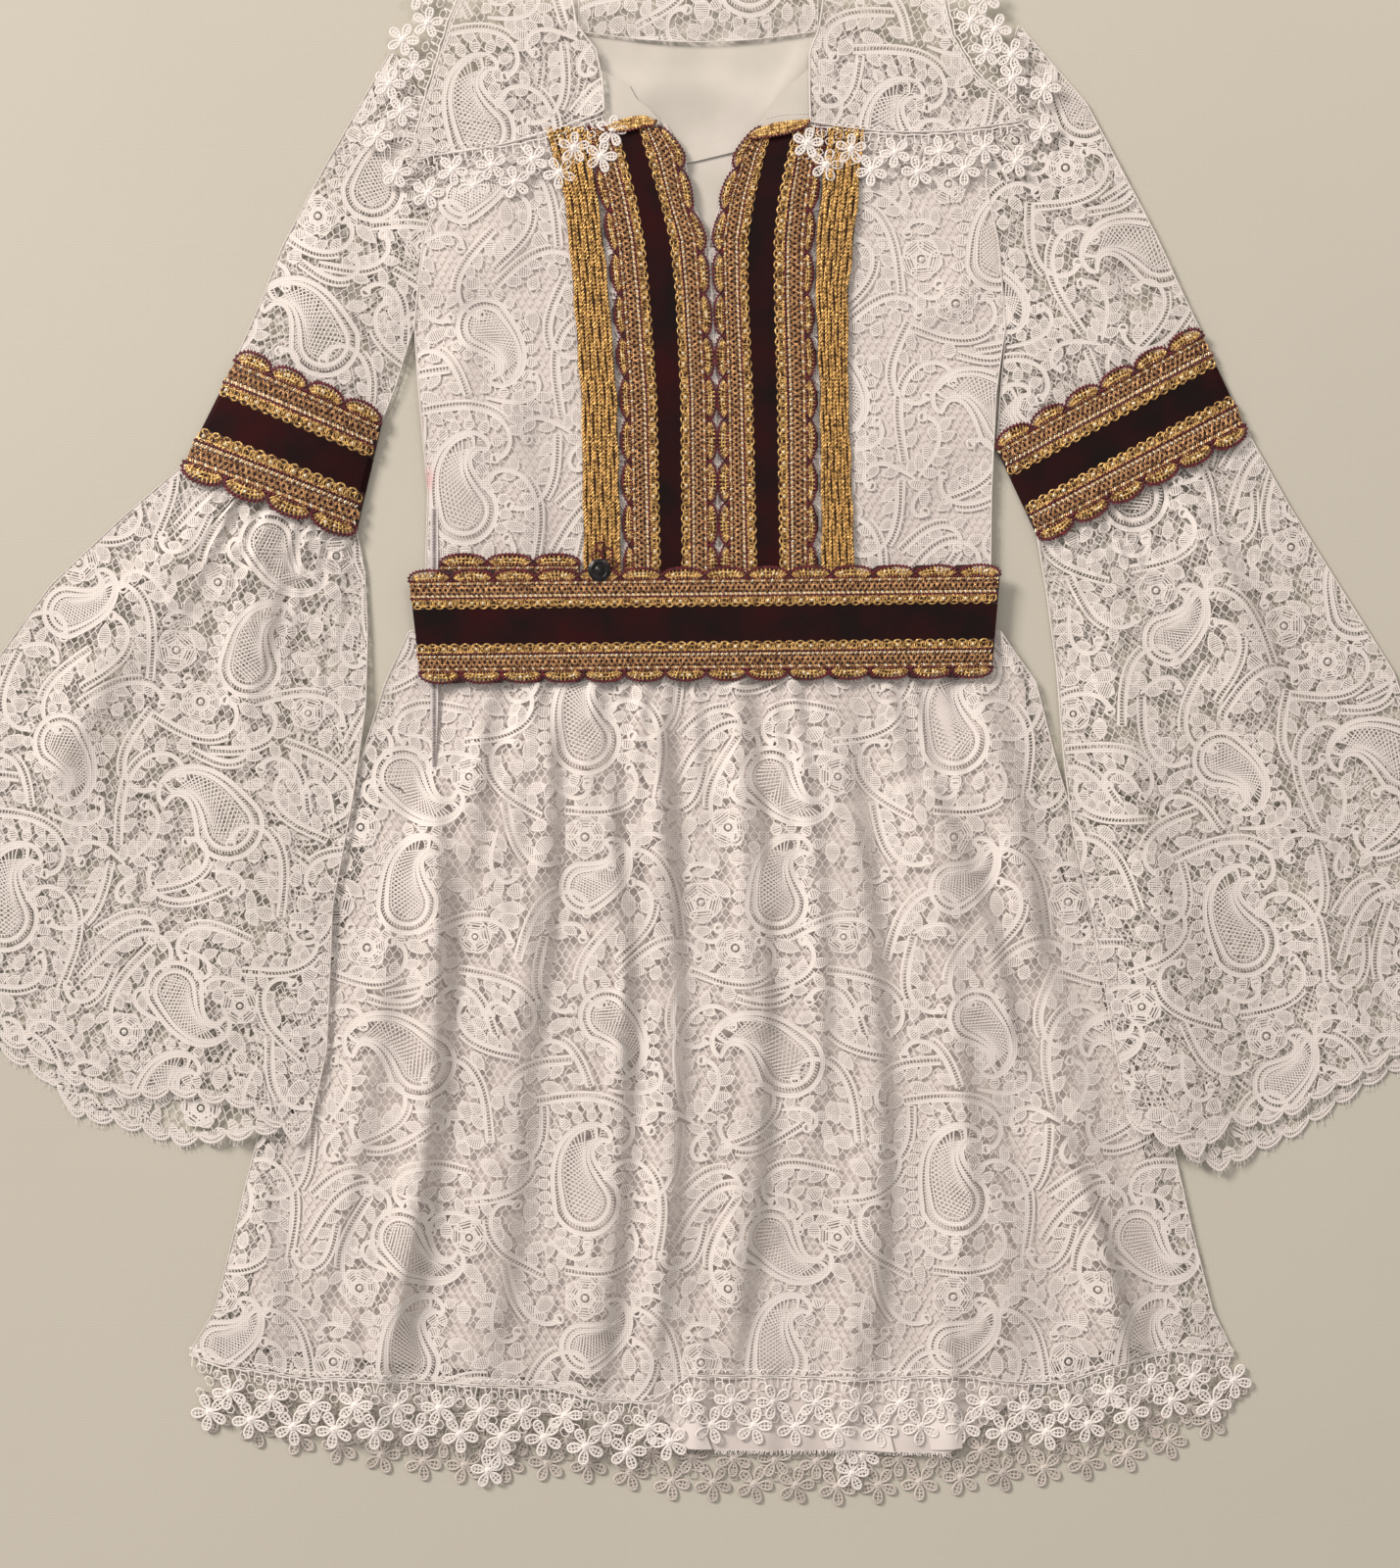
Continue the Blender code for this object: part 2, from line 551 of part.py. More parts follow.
def trimmed_band(names, corners, braid, low, slot, crown_height, shells):
    """A velvet strip between two gold braids with shells on their free edges, front and back.

    The band is a flattened tube: the front half is crowned and comes down to the back half
    at both folds. braid is each braid's share of the depth.
    """
    place = corner_place(corners)
    depth = math.dist(corners[0], corners[2])
    seam = SEAM / depth
    strips = (
        (names[0], (0.0, braid - seam), "start", "gold_braid"),
        (names[1], (braid + seam, 1.0 - braid - seam), "", "velvet"),
        (names[2], (1.0 - braid + seam, 1.0), "end", "gold_braid"),
    )
    for name, edges, shell_on, finish in strips:
        rows = band_rows(place, edges, shells, shell_on, SHELL_DEPTH / depth)
        steps = len(rows) - 3
        heights = [low + TRIM + GAP]
        for i in range(steps + 1):
            u = mix(FOLD_SHARE, 1.0 - FOLD_SHARE, i / steps)
            heights.append(low + TRIM + slot + crown(u, crown_height))
        heights.append(low + TRIM + GAP)
        points = [p for row in rows for p in row]
        under = [z for z in heights for _ in range(2)]
        add_wall(name, points, grid_faces(len(rows), 2), under, TRIM, finish)
        start, end = edges
        back = [(place(u, start), place(u, end)) for u in (0.0, 0.5, 1.0)]
        add_sheet(name + "_under", back, low, TRIM, finish)


def sleeve_band(side, band):
    """Elbow band, which the sleeve and the bell are gathered into."""
    corners = (band["top_outer"], band["top_inner"], band["foot_outer"], band["foot_inner"])
    names = ["band_%s_%s" % (piece, side) for piece in ("braid_top", "velvet", "braid_foot")]
    trimmed_band(names, corners, BAND_BRAID, BACK_LACE_Z, BAND_SLOT, band["crown"], band["shells"])


def belt():
    """The dress's own belt, a closed loop that lies flat on the waist."""
    corners = (BELT["top_left"], BELT["top_right"], BELT["foot_left"], BELT["foot_right"])
    share = BELT_BRAID / math.dist(corners[0], corners[2])
    names = ("belt_braid_top", "belt_velvet", "belt_braid_foot")
    trimmed_band(names, corners, share, BELT_Z, BELT_SLOT, 0.0, BELT["shells"])


def bell_lift(u, width, height):
    """Rise of a bell where it lies on the side of the skirt, u from the outer edge in."""
    inside = (1.0 - u) * width
    return height * min(max((LIFT_REACH + LIFT_RAMP - inside) / LIFT_RAMP, 0.0), 1.0)


def bell(side, sections, hem, back_hem, folds):
    """Flared bell below the band: a back and a front wall with a scalloped hem."""
    columns = 2 * BELL_SCALLOPS
    for name, line, front in (("back", back_hem, False), ("front", hem, True)):
        rows = sleeve_points(sections, columns)
        outer, inner = (min(line), max(line)) if side == "left" else (max(line), min(line))
        last = []
        for i in range(columns + 1):
            x = mix(outer[0], inner[0], i / columns)
            last.append((x, along(line, x) - BELL_SCALLOP_DEPTH * (i % 2)))
        rows.append(last)
        heights = list(sections) + [sections[-1]]
        low = []
        for row, section in zip(rows, heights):
            width = math.dist(section[1], section[2])
            for i, (x, y) in enumerate(row):
                u = i / columns
                z = bell_lift(u, width, section[4])
                if front:
                    z += SLEEVE_FRONT_Z + crown(u, section[3])
                    z += folds_at(folds, x, y) * math.sin(math.pi * u)
                low.append(z)
        points = [p for row in rows for p in row]
        add_wall("bell_%s_%s" % (name, side), points, grid_faces(len(rows), columns + 1), low, LACE, "lace")


def collar_rows(side, sections):
    """Rows of a collar leaf; the last is its lower edge, bowed down a little."""
    columns = 8
    rows = []
    for name, outer, inner in sections:
        row = [mix_point(outer, inner, i / columns) for i in range(columns + 1)]
        if name == "point":
            row = [(x, y - COLLAR_BOW[side] * math.sin(math.pi * i / columns)) for i, (x, y) in enumerate(row)]
        rows.append(row)
    return rows


def collar_seam(side, sections):
    """The line that the trim is sewn to: down the outer edge, round the point to the neck."""
    rows = collar_rows(side, sections)
    way = -COLLAR_SEAM if side == "left" else COLLAR_SEAM
    outer = [(row[0][0] + way, row[0][1]) for row in rows[:-1]]
    corner = (rows[-1][0][0] + way, rows[-1][0][1] - COLLAR_SEAM)
    return Path(outer + [corner] + [(x, y - COLLAR_SEAM) for x, y in rows[-1][1:]], corner=len(outer))


def collar_leaf(side, sections):
    """One pointed leaf of the collar, thicker where it rolls over at the neck."""
    rows = collar_rows(side, sections)
    thick = []
    for row in rows:
        for x, _ in row:
            roll = smooth(1.0 - abs(x - row[-1][0]) / ROLL_WIDTH)
            thick.append(mix(LACE, ROLL_THICKNESS, roll))
    points = [p for row in rows for p in row]
    add_wall("collar_" + side, points, grid_faces(len(rows), len(rows[0])), COLLAR_Z, thick, "lace")


def collar_back():
    """The roll of the collar across the nape, on the back lining."""
    columns, steps = 8, 4
    points, low, thick = [], [], []
    for r in range(steps + 1):
        for c in range(columns + 1):
            u, v = c / columns, r / steps
            foot = BACK_ROLL["foot"] - BACK_ROLL["sag"] * math.sin(math.pi * u)
            points.append((mix(BACK_ROLL["left"], BACK_ROLL["right"], u), mix(BACK_ROLL["top"], foot, v)))
            low.append(FRONT_LINING_Z)
            thick.append(mix(LACE, BACK_ROLL["height"], math.sin(math.pi * v) ** 0.6))
    add_wall("collar_back", points, grid_faces(steps + 1, columns + 1), low, thick, "lace")


class Path:
    """A seam line that a trim is sewn to, and the way that the trim hangs from it.

    It is measured by its length, or straight across where hang gives one way for all of it.
    """

    def __init__(self, points, hang=None, corner=0):
        self.points = points
        self.hang = hang
        self.marks = [0.0]
        for a, b in zip(points, points[1:]):
            self.marks.append(self.marks[-1] + (b[0] - a[0] if hang else math.dist(a, b)))
        self.length = self.marks[-1]
        self.corner = self.marks[corner]

    def at(self, run):
        """The point of the seam at a length from its start."""
        run = min(max(run, 0.0), self.length)
        for (a, b), (m, n) in zip(zip(self.points, self.points[1:]), zip(self.marks, self.marks[1:])):
            if run <= n:
                return mix_point(a, b, (run - m) / (n - m))
        return self.points[-1]

    def down(self, run):
        """The way that the trim hangs there, smoothed round a corner."""
        if self.hang:
            return self.hang
        a, b = self.at(run - CORNER_EASE), self.at(run + CORNER_EASE)
        length = math.dist(a, b)
        return ((b[1] - a[1]) / length, -(b[0] - a[0]) / length)


def mirrored(points):
    return [(-s, t) for s, t in points]


def daisy_trim(name, path, depth, under, flip=1.0):
    """Guipure trim of daisies, with its three largest gaps in each repeat cut through.

    Each repeat has a whole flower of the lower row, and half of two flowers of the upper
    row. s runs along the seam from the middle of the repeat and t is the depth below it.
    """
    before = round(path.corner / DAISY_REPEAT)
    after = round((path.length - path.corner) / DAISY_REPEAT)
    repeats = before + after
    scale_t = depth / DAISY_DEPTH
    points, index = [], {}

    def run_at(s):
        """Length along the seam of a place in the repeats; a corner falls between two."""
        share = s / DAISY_REPEAT
        if share <= before:
            return path.corner * share / max(before, 1)
        return path.corner + (path.length - path.corner) * (share - before) / after

    def point(s, t):
        key = (round(s, 3), t)
        if key not in index:
            run = min(max(run_at(s), 0.0), path.length)
            x, y = path.at(run)
            dx, dy = path.down(run)
            index[key] = len(points)
            points.append((x + flip * dx * t * scale_t, y + flip * dy * t * scale_t))
        return index[key]

    faces = []
    half = 0.5 * DAISY_REPEAT
    for k in range(repeats):
        middle = (k + 0.5) * DAISY_REPEAT
        flower = list(LOWER_DAISY) + mirrored(LOWER_DAISY[::-1])
        faces.append([point(middle + s, t) for s, t in flower])
        heading = [(-half, 0.0), (0.0, 0.0), (half, 0.0), UPPER_DAISY[0], mirrored(UPPER_DAISY)[0]]
        faces.append([point(middle + s, t) for s, t in heading])
        left = [(0.0, 0.0)] + [(s + half, t) for s, t in mirrored(UPPER_DAISY)]
        right = [(0.0, 0.0)] + [(s - half, t) for s, t in UPPER_DAISY]
        if k == 0:
            faces.append([point(s, t) for s, t in left + [(0.0, UPPER_DAISY[-1][1])]])
        if k == repeats - 1:
            end = repeats * DAISY_REPEAT
            faces.append([point(end + s, t) for s, t in right + [(0.0, UPPER_DAISY[-1][1])]])
        else:
            seam = (k + 1) * DAISY_REPEAT
            whole = right + left[1:][::-1]
            faces.append([point(seam + s, t) for s, t in whole])
    low = [under(x, y) for x, y in points] if callable(under) else under
    add_wall(name, points, faces, low, TRIM, "daisy_trim")


def hem_trims():
    """Daisy trims on the front and the back hem."""
    front = [(x, y - GAP) for x, y in skirt_panel_rows(True)[-1]]
    back = [(x, y - GAP) for x, y in skirt_panel_rows(False)[-1]]
    daisy_trim("hem_trim_front", Path(front, (0.0, -1.0)), DAISY_DEPTH, front_trim_under)
    daisy_trim("hem_trim_back", Path(back, (0.0, -1.0)), DAISY_DEPTH, BACK_LACE_Z)


def front_trim_under(x, y):
    """The front trim carries on from the lace above it at the same height."""
    return skirt_front_under(x, along(FRONT_HEM, x))


def collars():
    """Both collar leaves, the roll at the nape and their daisy trims."""
    collar_leaf("left", LEFT_COLLAR)
    collar_leaf("right", RIGHT_COLLAR)
    collar_back()
    daisy_trim("collar_trim_left", collar_seam("left", LEFT_COLLAR), COLLAR_DAISY_DEPTH, COLLAR_Z)
    daisy_trim("collar_trim_right", collar_seam("right", RIGHT_COLLAR), COLLAR_DAISY_DEPTH, COLLAR_Z, -1.0)


def placket_x(edge, y):
    """x of a named edge of the placket at a height."""
    column = 1 + PLACKET_EDGES.index(edge)
    return along([(row[0], row[column]) for row in PLACKET], y)


def placket_strip(name, left, right, finish):
    """A straight-edged strip of the placket between two named edges."""
    rows = [((placket_x(left, row[0]) + SEAM, row[0]), (placket_x(right, row[0]) - SEAM, row[0]))
            for row in PLACKET]
    add_sheet(name, rows, TRIM_Z, TRIM, finish)


def placket_braid(name, straight, free, beyond, depth):
    """A braid of the placket, with shells on its free edge that stop short of what is beyond."""
    top, foot = PLACKET[0][0], PLACKET[-1][0]
    steps = SHELL_STEPS * round((top - foot) / SHELL_PITCH)
    rows = []
    for i in range(steps + 1):
        y = mix(top, foot, i / steps)
        inner, outer = placket_x(straight, y), placket_x(free, y)
        way = math.copysign(1.0, outer - inner)
        room = abs(placket_x(beyond, y) - outer) - 2.0 * GAP
        if beyond.startswith("braid"):
            room = 0.5 * room
        reach = scallop(i / SHELL_STEPS, min(depth, max(room, 0.0)))
        rows.append(((inner + way * SEAM, y), (outer + way * reach, y)))
    add_sheet(name, rows, TRIM_Z, TRIM, "gold_braid")


def placket():
    """Two velvet strips, four scalloped braids and two plaited gold bands down the front."""
    placket_strip("cord_band_left", "cord_l0", "cord_l1", "gold_cord")
    placket_strip("cord_band_right", "cord_r0", "cord_r1", "gold_cord")
    placket_strip("placket_velvet_left", "velvet_l0", "velvet_l1", "velvet")
    placket_strip("placket_velvet_right", "velvet_r0", "velvet_r1", "velvet")
    placket_braid("placket_braid_outer_left", "velvet_l0", "braid_l0", "cord_l1", OUTER_SHELL_DEPTH)
    placket_braid("placket_braid_inner_left", "velvet_l1", "braid_l1", "braid_r0", INNER_SHELL_DEPTH)
    placket_braid("placket_braid_inner_right", "velvet_r0", "braid_r0", "braid_l1", INNER_SHELL_DEPTH)
    placket_braid("placket_braid_outer_right", "velvet_r1", "braid_r1", "cord_r0", OUTER_SHELL_DEPTH)


def waist_trim():
    """Scalloped braid at the waist seam, which peeks out above the belt on the left."""
    steps = SHELL_STEPS * WAIST_TRIM["shells"]
    rows = []
    for i in range(steps + 1):
        x = mix(WAIST_TRIM["left"], WAIST_TRIM["right"], i / steps)
        rows.append(((x, WAIST_TRIM["top"] + scallop(i / SHELL_STEPS, SHELL_DEPTH)), (x, WAIST_TRIM["foot"])))
    add_sheet("waist_trim", rows, TRIM_Z, TRIM, "gold_braid")


def side_zip():
    """The closed tape of the side zip, which narrows to a point on the hip."""
    x, half = ZIP["x"], 0.5 * ZIP["width"]
    rows = [
        ((x - half, ZIP["top"]), (x + half, ZIP["top"])),
        ((x - half, ZIP["foot"] + 40.0), (x + half, ZIP["foot"] + 40.0)),
        ((x - 0.3 * half, ZIP["foot"]), (x + 0.3 * half, ZIP["foot"])),
    ]
    add_sheet("side_zip", rows, TRIM_Z, ZIP["thickness"], "zip_tape")


def press_stud():
    """Half of a press stud on the edge of the belt, turned with a raised centre."""
    sides = 20
    profile = (
        (STUD["radius"], 0.0), (STUD["radius"], 0.6 * STUD["rim"]), (0.8 * STUD["radius"], STUD["rim"]),
        (STUD["knob_radius"], STUD["rim"]), (STUD["knob_radius"], STUD["knob"] - 0.6),
        (0.6 * STUD["knob_radius"], STUD["knob"]),
    )
    base = BELT_Z + 2.0 * TRIM + BELT_SLOT + GAP
    cx, cy = STUD["centre"]
    vertices = []
    for radius, z in profile:
        for i in range(sides):
            angle = 2.0 * math.pi * i / sides
            vertices.append((cx + radius * math.cos(angle), cy + radius * math.sin(angle), base + z))
    faces = [list(range(sides))[::-1]]
    for r in range(len(profile) - 1):
        for i in range(sides):
            j = (i + 1) % sides
            faces.append([r * sides + i, r * sides + j, (r + 1) * sides + j, (r + 1) * sides + i])
    faces.append([(len(profile) - 1) * sides + i for i in range(sides)])
    add_object("press_stud", vertices, faces, "press_stud")


def main():
    """Build every piece of the dress."""
    for old in list(bpy.data.objects):
        bpy.data.objects.remove(old, do_unlink=True)
    bodice_back()
    bodice_fronts()
    skirt()
    upper_sleeve("left", LEFT_SLEEVE)
    upper_sleeve("right", RIGHT_SLEEVE)
    sleeve_band("left", LEFT_BAND)
    sleeve_band("right", RIGHT_BAND)
    bell("left", LEFT_BELL, LEFT_BELL_HEM, LEFT_BELL_BACK_HEM, LEFT_BELL_FOLDS)
    bell("right", RIGHT_BELL, RIGHT_BELL_HEM, RIGHT_BELL_BACK_HEM, RIGHT_BELL_FOLDS)
    collars()
    hem_trims()
    placket()
    waist_trim()
    belt()
    side_zip()
    press_stud()


main()
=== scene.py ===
"""Looks of the lace folk dress, laid flat on its back.

Every cloth is a thin shell or real threadwork laid on the form of its CAD solid. The lace is
one repeating length of corded paisley lace, cut to each panel's outline. Sizes are in
millimetres unless a name ends in _m; meshes are made in metres, in the frame of the model.
"""
from __future__ import annotations

import json
import logging
import math
import random
from dataclasses import dataclass, field
from enum import Enum
from typing import Callable, Sequence

import bpy
import numpy as np
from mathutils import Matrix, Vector
from mathutils.bvhtree import BVHTree
from mathutils.geometry import delaunay_2d_cdt

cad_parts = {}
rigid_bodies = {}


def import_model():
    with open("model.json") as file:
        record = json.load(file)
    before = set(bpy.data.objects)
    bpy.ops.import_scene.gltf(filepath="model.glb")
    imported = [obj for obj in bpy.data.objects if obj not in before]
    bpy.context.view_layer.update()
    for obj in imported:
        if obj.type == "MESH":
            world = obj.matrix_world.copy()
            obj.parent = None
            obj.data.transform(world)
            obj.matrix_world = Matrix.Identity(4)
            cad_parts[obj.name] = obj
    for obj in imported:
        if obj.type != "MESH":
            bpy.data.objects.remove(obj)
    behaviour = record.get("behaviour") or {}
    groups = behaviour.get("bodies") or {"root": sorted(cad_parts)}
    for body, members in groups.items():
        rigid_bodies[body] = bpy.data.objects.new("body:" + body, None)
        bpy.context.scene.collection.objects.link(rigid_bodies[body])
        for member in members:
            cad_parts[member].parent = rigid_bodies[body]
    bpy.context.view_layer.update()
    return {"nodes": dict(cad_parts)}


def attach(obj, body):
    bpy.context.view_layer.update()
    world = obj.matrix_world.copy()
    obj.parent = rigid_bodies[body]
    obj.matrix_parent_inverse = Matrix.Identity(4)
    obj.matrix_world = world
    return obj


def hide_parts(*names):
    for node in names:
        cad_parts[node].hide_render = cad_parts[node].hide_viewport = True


LOG = logging.getLogger("lace_dress")
MM = 0.001
TINY = 1e-6

Point = tuple[float, float]
Line = Sequence[Point]
Tone = tuple[float, float, float]
Place = tuple[float, float, float]
Warp = Callable[[np.ndarray], np.ndarray]

# Seam lines of the two daisy trims, left to right, as in the CAD source
FRONT_HEM: Line = (
    (-338.0, -403.0), (-320.0, -410.0), (-290.0, -414.0), (-262.0, -419.0), (-218.0, -419.0),
    (-179.0, -421.0), (-136.0, -423.0), (-96.0, -425.0), (-65.0, -433.0), (-30.0, -434.0),
    (-13.0, -416.0), (42.0, -417.0), (111.0, -419.0), (164.0, -416.0), (206.0, -422.0),
    (238.0, -420.0), (273.0, -408.0), (307.0, -400.0), (346.0, -404.0),
)
BACK_HEM: Line = (
    (-334.0, -405.0), (-290.0, -421.0), (-250.0, -428.0), (-217.0, -436.0), (-167.0, -444.0),
    (-110.0, -442.0), (-67.0, -443.0), (-28.0, -454.0), (31.0, -456.0), (97.0, -458.0),
    (144.0, -454.0), (218.0, -446.0), (268.0, -438.0), (296.0, -431.0), (344.0, -408.0),
)
BELL_HEMS: dict[str, Line] = {
    "bell_front_left": (
        (-499.0, -172.0), (-461.0, -193.0), (-433.0, -204.0), (-412.0, -222.0), (-370.0, -231.0),
        (-346.0, -228.0), (-298.0, -236.0), (-283.0, -247.0), (-266.0, -259.0), (-257.0, -250.0)),
    "bell_back_left": (
        (-499.0, -180.0), (-461.0, -201.0), (-430.0, -220.0), (-412.0, -243.0), (-383.0, -249.0),
        (-345.0, -261.0), (-306.0, -257.0), (-283.0, -252.0), (-257.0, -246.0)),
    "bell_front_right": (
        (275.0, -246.0), (293.0, -256.0), (322.0, -268.0), (344.0, -245.0), (360.0, -249.0),
        (384.0, -241.0), (401.0, -230.0), (434.0, -214.0), (454.0, -201.0), (499.0, -184.0)),
    "bell_back_right": (
        (275.0, -240.0), (293.0, -252.0), (322.0, -272.0), (337.0, -277.0), (360.0, -266.0),
        (384.0, -256.0), (434.0, -222.0), (499.0, -190.0)),
}
# Scallops of a bell's hem, their depth, how far inside the hem they start, and the loose lashes on them
BELL_SCALLOPS = 13
SCALLOP_DEPTH = 6.4
SCALLOP_START = 1.5
LASH_CHANCE = 0.75
LASH_LEAN = 1.6
LASH_SHORTEST, LASH_LONGEST = 2.0, 5.0
# Seam lines of the collar's trims, from the nape round the point to the front
COLLAR_SEAMS: dict[str, Line] = {
    "left": ((-157.4, 488.0), (-166.4, 470.0), (-174.4, 444.0), (-182.4, 418.0), (-192.4, 376.6),
             (-160.0, 383.5), (-128.0, 386.2), (-97.0, 393.0), (-66.0, 406.6)),
    "right": ((155.4, 488.0), (162.4, 458.0), (177.4, 432.0), (193.4, 418.0), (208.4, 400.6),
              (172.0, 395.4), (138.0, 393.1), (103.0, 394.8), (68.5, 399.6)),
}
COLLAR_CORNER = 4
# Satin facings that turn out at the neck
FACINGS: dict[str, Line] = {
    "left": ((-70.0, 436.0), (-60.0, 431.0), (-50.0, 426.0), (-44.5, 416.0), (-37.0, 410.5), (-30.0, 403.0),
             (-29.0, 397.0), (-66.0, 396.0)),
    "right": ((68.0, 437.0), (49.3, 420.0), (39.7, 407.0), (30.0, 394.5), (36.0, 392.0), (54.0, 396.0),
              (69.5, 396.0)),
}
# Tuck across the satin inside the neck, and the folds of the lining that show below the front hem
NECK_TUCK: Line = ((-34.0, 380.0), (-10.0, 384.5), (34.0, 394.5), (34.0, 386.0), (-8.0, 376.0), (-34.0, 371.5))
LINING_FOLDS: tuple[Line, ...] = (
    ((-19.0, -438.0), (-7.0, -436.0), (-27.6, -464.0), (4.3, -465.6)),
    ((74.0, -452.0), (119.0, -448.0), (80.0, -465.0), (123.5, -467.6)),
    ((142.8, -436.0), (166.0, -438.0), (147.5, -466.0), (168.0, -464.6)),
)
# Braid ends folded over the placket's head
HEAD_FOLDS: dict[str, Line] = {
    "left": ((-66.0, 397.5), (-57.0, 402.0), (-47.0, 404.6), (-39.0, 405.2), (-32.0, 401.5)),
    "right": ((28.0, 392.0), (35.0, 397.0), (46.0, 400.6), (57.0, 402.0), (69.0, 402.8)),
}

# Placket: height, then the x of each strip's edges from left to right, as in the CAD source
PLACKET_EDGES = (
    "cord_l0", "cord_l1", "braid_l0", "velvet_l0", "velvet_l1", "braid_l1",
    "braid_r0", "velvet_r0", "velvet_r1", "braid_r1", "cord_r0", "cord_r1",
)
PLACKET = (
    (398.0, -105.0, -79.0, -77.0, -58.0, -43.5, -30.0, 36.0, 44.0, 58.0, 76.0, 80.0, 104.0),
    (380.0, -100.0, -74.3, -71.5, -52.5, -38.3, -19.0, 24.0, 38.8, 53.7, 72.0, 78.0, 102.3),
    (352.0, -92.0, -70.5, -64.2, -45.2, -30.0, -14.0, 15.0, 32.3, 47.8, 68.5, 75.3, 99.8),
    (325.0, -89.3, -66.9, -59.0, -40.0, -23.2, -4.8, 10.0, 28.0, 45.0, 66.0, 72.4, 96.8),
    (291.0, -86.0, -63.3, -55.6, -36.6, -19.5, -2.5, 11.0, 28.0, 45.0, 65.3, 72.0, 93.3),
    (221.0, -81.0, -57.8, -50.6, -31.6, -16.0, 1.5, 13.3, 31.0, 47.0, 67.5, 75.0, 93.3),
    (98.0, -79.0, -54.5, -48.0, -29.0, -15.0, 3.0, 15.0, 34.0, 49.0, 68.0, 76.0, 98.0),
)
# How far the trims' seams lie below the hem, the spare daisies of the doubled-over trim (x, y, turn, base),
# the loose thread on the skirt and the stitches along the right facing
HEM_DROP = 0.3
DOWN: Point = (0.0, -1.0)
DOUBLED_DAISIES = (
    (96.0, -482.0, 80.0, 1.2), (92.0, -466.0, 20.0, 1.8), (103.0, -470.0, 50.0, 0.9),
    (-142.0, -480.0, 100.0, 1.0), (-134.0, -468.0, 30.0, 1.6),
)
LOOSE_THREAD: Line = ((-205.0, -31.0), (-202.0, -33.0), (-199.0, -33.6), (-197.0, -36.5))
FACING_STITCHES: Line = ((39.7, 404.0), (52.0, 406.5), (67.5, 407.0))
# Corners of the sleeve bands, the spare braid above the belt and the belt: top left, top right, foot left, foot right
LEFT_BAND: Line = ((-307.0, 247.0), (-212.0, 205.0), (-341.0, 179.0), (-228.0, 136.0))
RIGHT_BAND: Line = ((325.0, 263.0), (190.5, 189.0), (353.0, 203.0), (217.0, 132.0))
WAIST_TRIM: Line = ((-173.0, 113.0), (-82.0, 113.0), (-173.0, 92.0), (-82.0, 92.0))
BELT: Line = ((-193.0, 102.0), (192.0, 106.0), (-186.0, 41.0), (187.0, 45.0))
# Turns of cord at the press stud: x and y from its middle, and radius
STUD_LOOPS = ((-1.5, 9.5, 3.6), (4.5, 11.0, 4.0), (1.0, 15.5, 3.0), (9.0, 4.0, 2.6))


# ---------------------------------------------------------------- finishes

@dataclass(frozen=True)
class Mottle:
    """Slow change of colour over a cloth: two tones and the size of its patches."""

    tone: Tone
    other: Tone
    patch_m: float = 0.05


@dataclass(frozen=True)
class Finish:
    """One material: its tones, the scale of its threads and its gloss."""

    name: str
    mottle: Mottle
    slot: str
    roughness: float = 0.75
    metallic: float = 0.0
    grain_per_m: float = 900.0
    grain_height: float = 0.3
    sheen: float = 0.0
    weave_turn: float = 0.0
    sheen_tint: Tone = (1.0, 1.0, 1.0)
    specular: float = 0.5
    stain: tuple[Place, float, Tone] | None = None


# Shares, shapes and sizes that all finishes use
MOTTLE_BAND = (0.34, 0.66)
WAVES_PER_THREAD = 0.16
SLUB_SHARE = 0.6
THREAD_HEIGHT_M = 0.0003
STAIN_SHAPE = (1.6, 0.8, 0.0)
STAIN_DEPTH = 0.75
# Place, radius in metres and tint of the one stain
STAIN = ((-0.181, 0.168, 0.0), 0.011, (0.72, 0.42, 0.44))
LACE = Finish("corded_lace", Mottle((0.73, 0.69, 0.66), (0.80, 0.76, 0.73)), "lace", 0.8,
              grain_per_m=1300.0, grain_height=0.6, sheen=0.1, stain=STAIN)
DAISY = Finish("guipure_cotton", Mottle((0.82, 0.785, 0.76), (0.89, 0.85, 0.82), 0.02), "daisy_trim",
               0.7, grain_per_m=1500.0, grain_height=0.3, sheen=0.1)
HEM_DAISY = Finish("guipure_in_shade", Mottle((0.50, 0.455, 0.42), (0.66, 0.61, 0.565), 0.03), "daisy_trim",
                   0.7, grain_per_m=1500.0, grain_height=0.3, sheen=0.1)
# Satin at the neck, darkened all over: painted shade of the collar that lies over it.
SHADED_SATIN = Finish("ivory_satin_in_shade", Mottle((0.55, 0.535, 0.48), (0.65, 0.62, 0.57), 0.05), "satin", 0.5,
               grain_per_m=1400.0, grain_height=0.06)
# Satin of the linings, darker than the lace: painted shade, mostly of the lace that lies over it.
SHADED_LINING = Finish("pink_white_satin_in_shade", Mottle((0.64, 0.59, 0.565), (0.73, 0.68, 0.65), 0.09), "satin", 0.45,
                grain_per_m=1400.0, grain_height=0.06)
FOLD_SATIN = Finish("satin_in_light", Mottle((0.76, 0.71, 0.68), (0.84, 0.79, 0.76), 0.03), "satin", 0.4,
                    grain_per_m=1400.0, grain_height=0.06)
# Near-black velvet; its redder patches are painted sheen, beside the shader's own sheen.
VELVET = Finish("burgundy_velvet", Mottle((0.011, 0.008, 0.008), (0.030, 0.007, 0.008), 0.035), "velvet",
                0.95, grain_per_m=1800.0, grain_height=0.5, sheen=0.05, sheen_tint=(0.6, 0.02, 0.05), specular=0.08)
BRAID_GROUND = Finish("braid_ground", Mottle((0.014, 0.002, 0.004), (0.04, 0.008, 0.007), 0.003),
                      "gold_braid", 0.7, 0.0, 1600.0, 0.5)
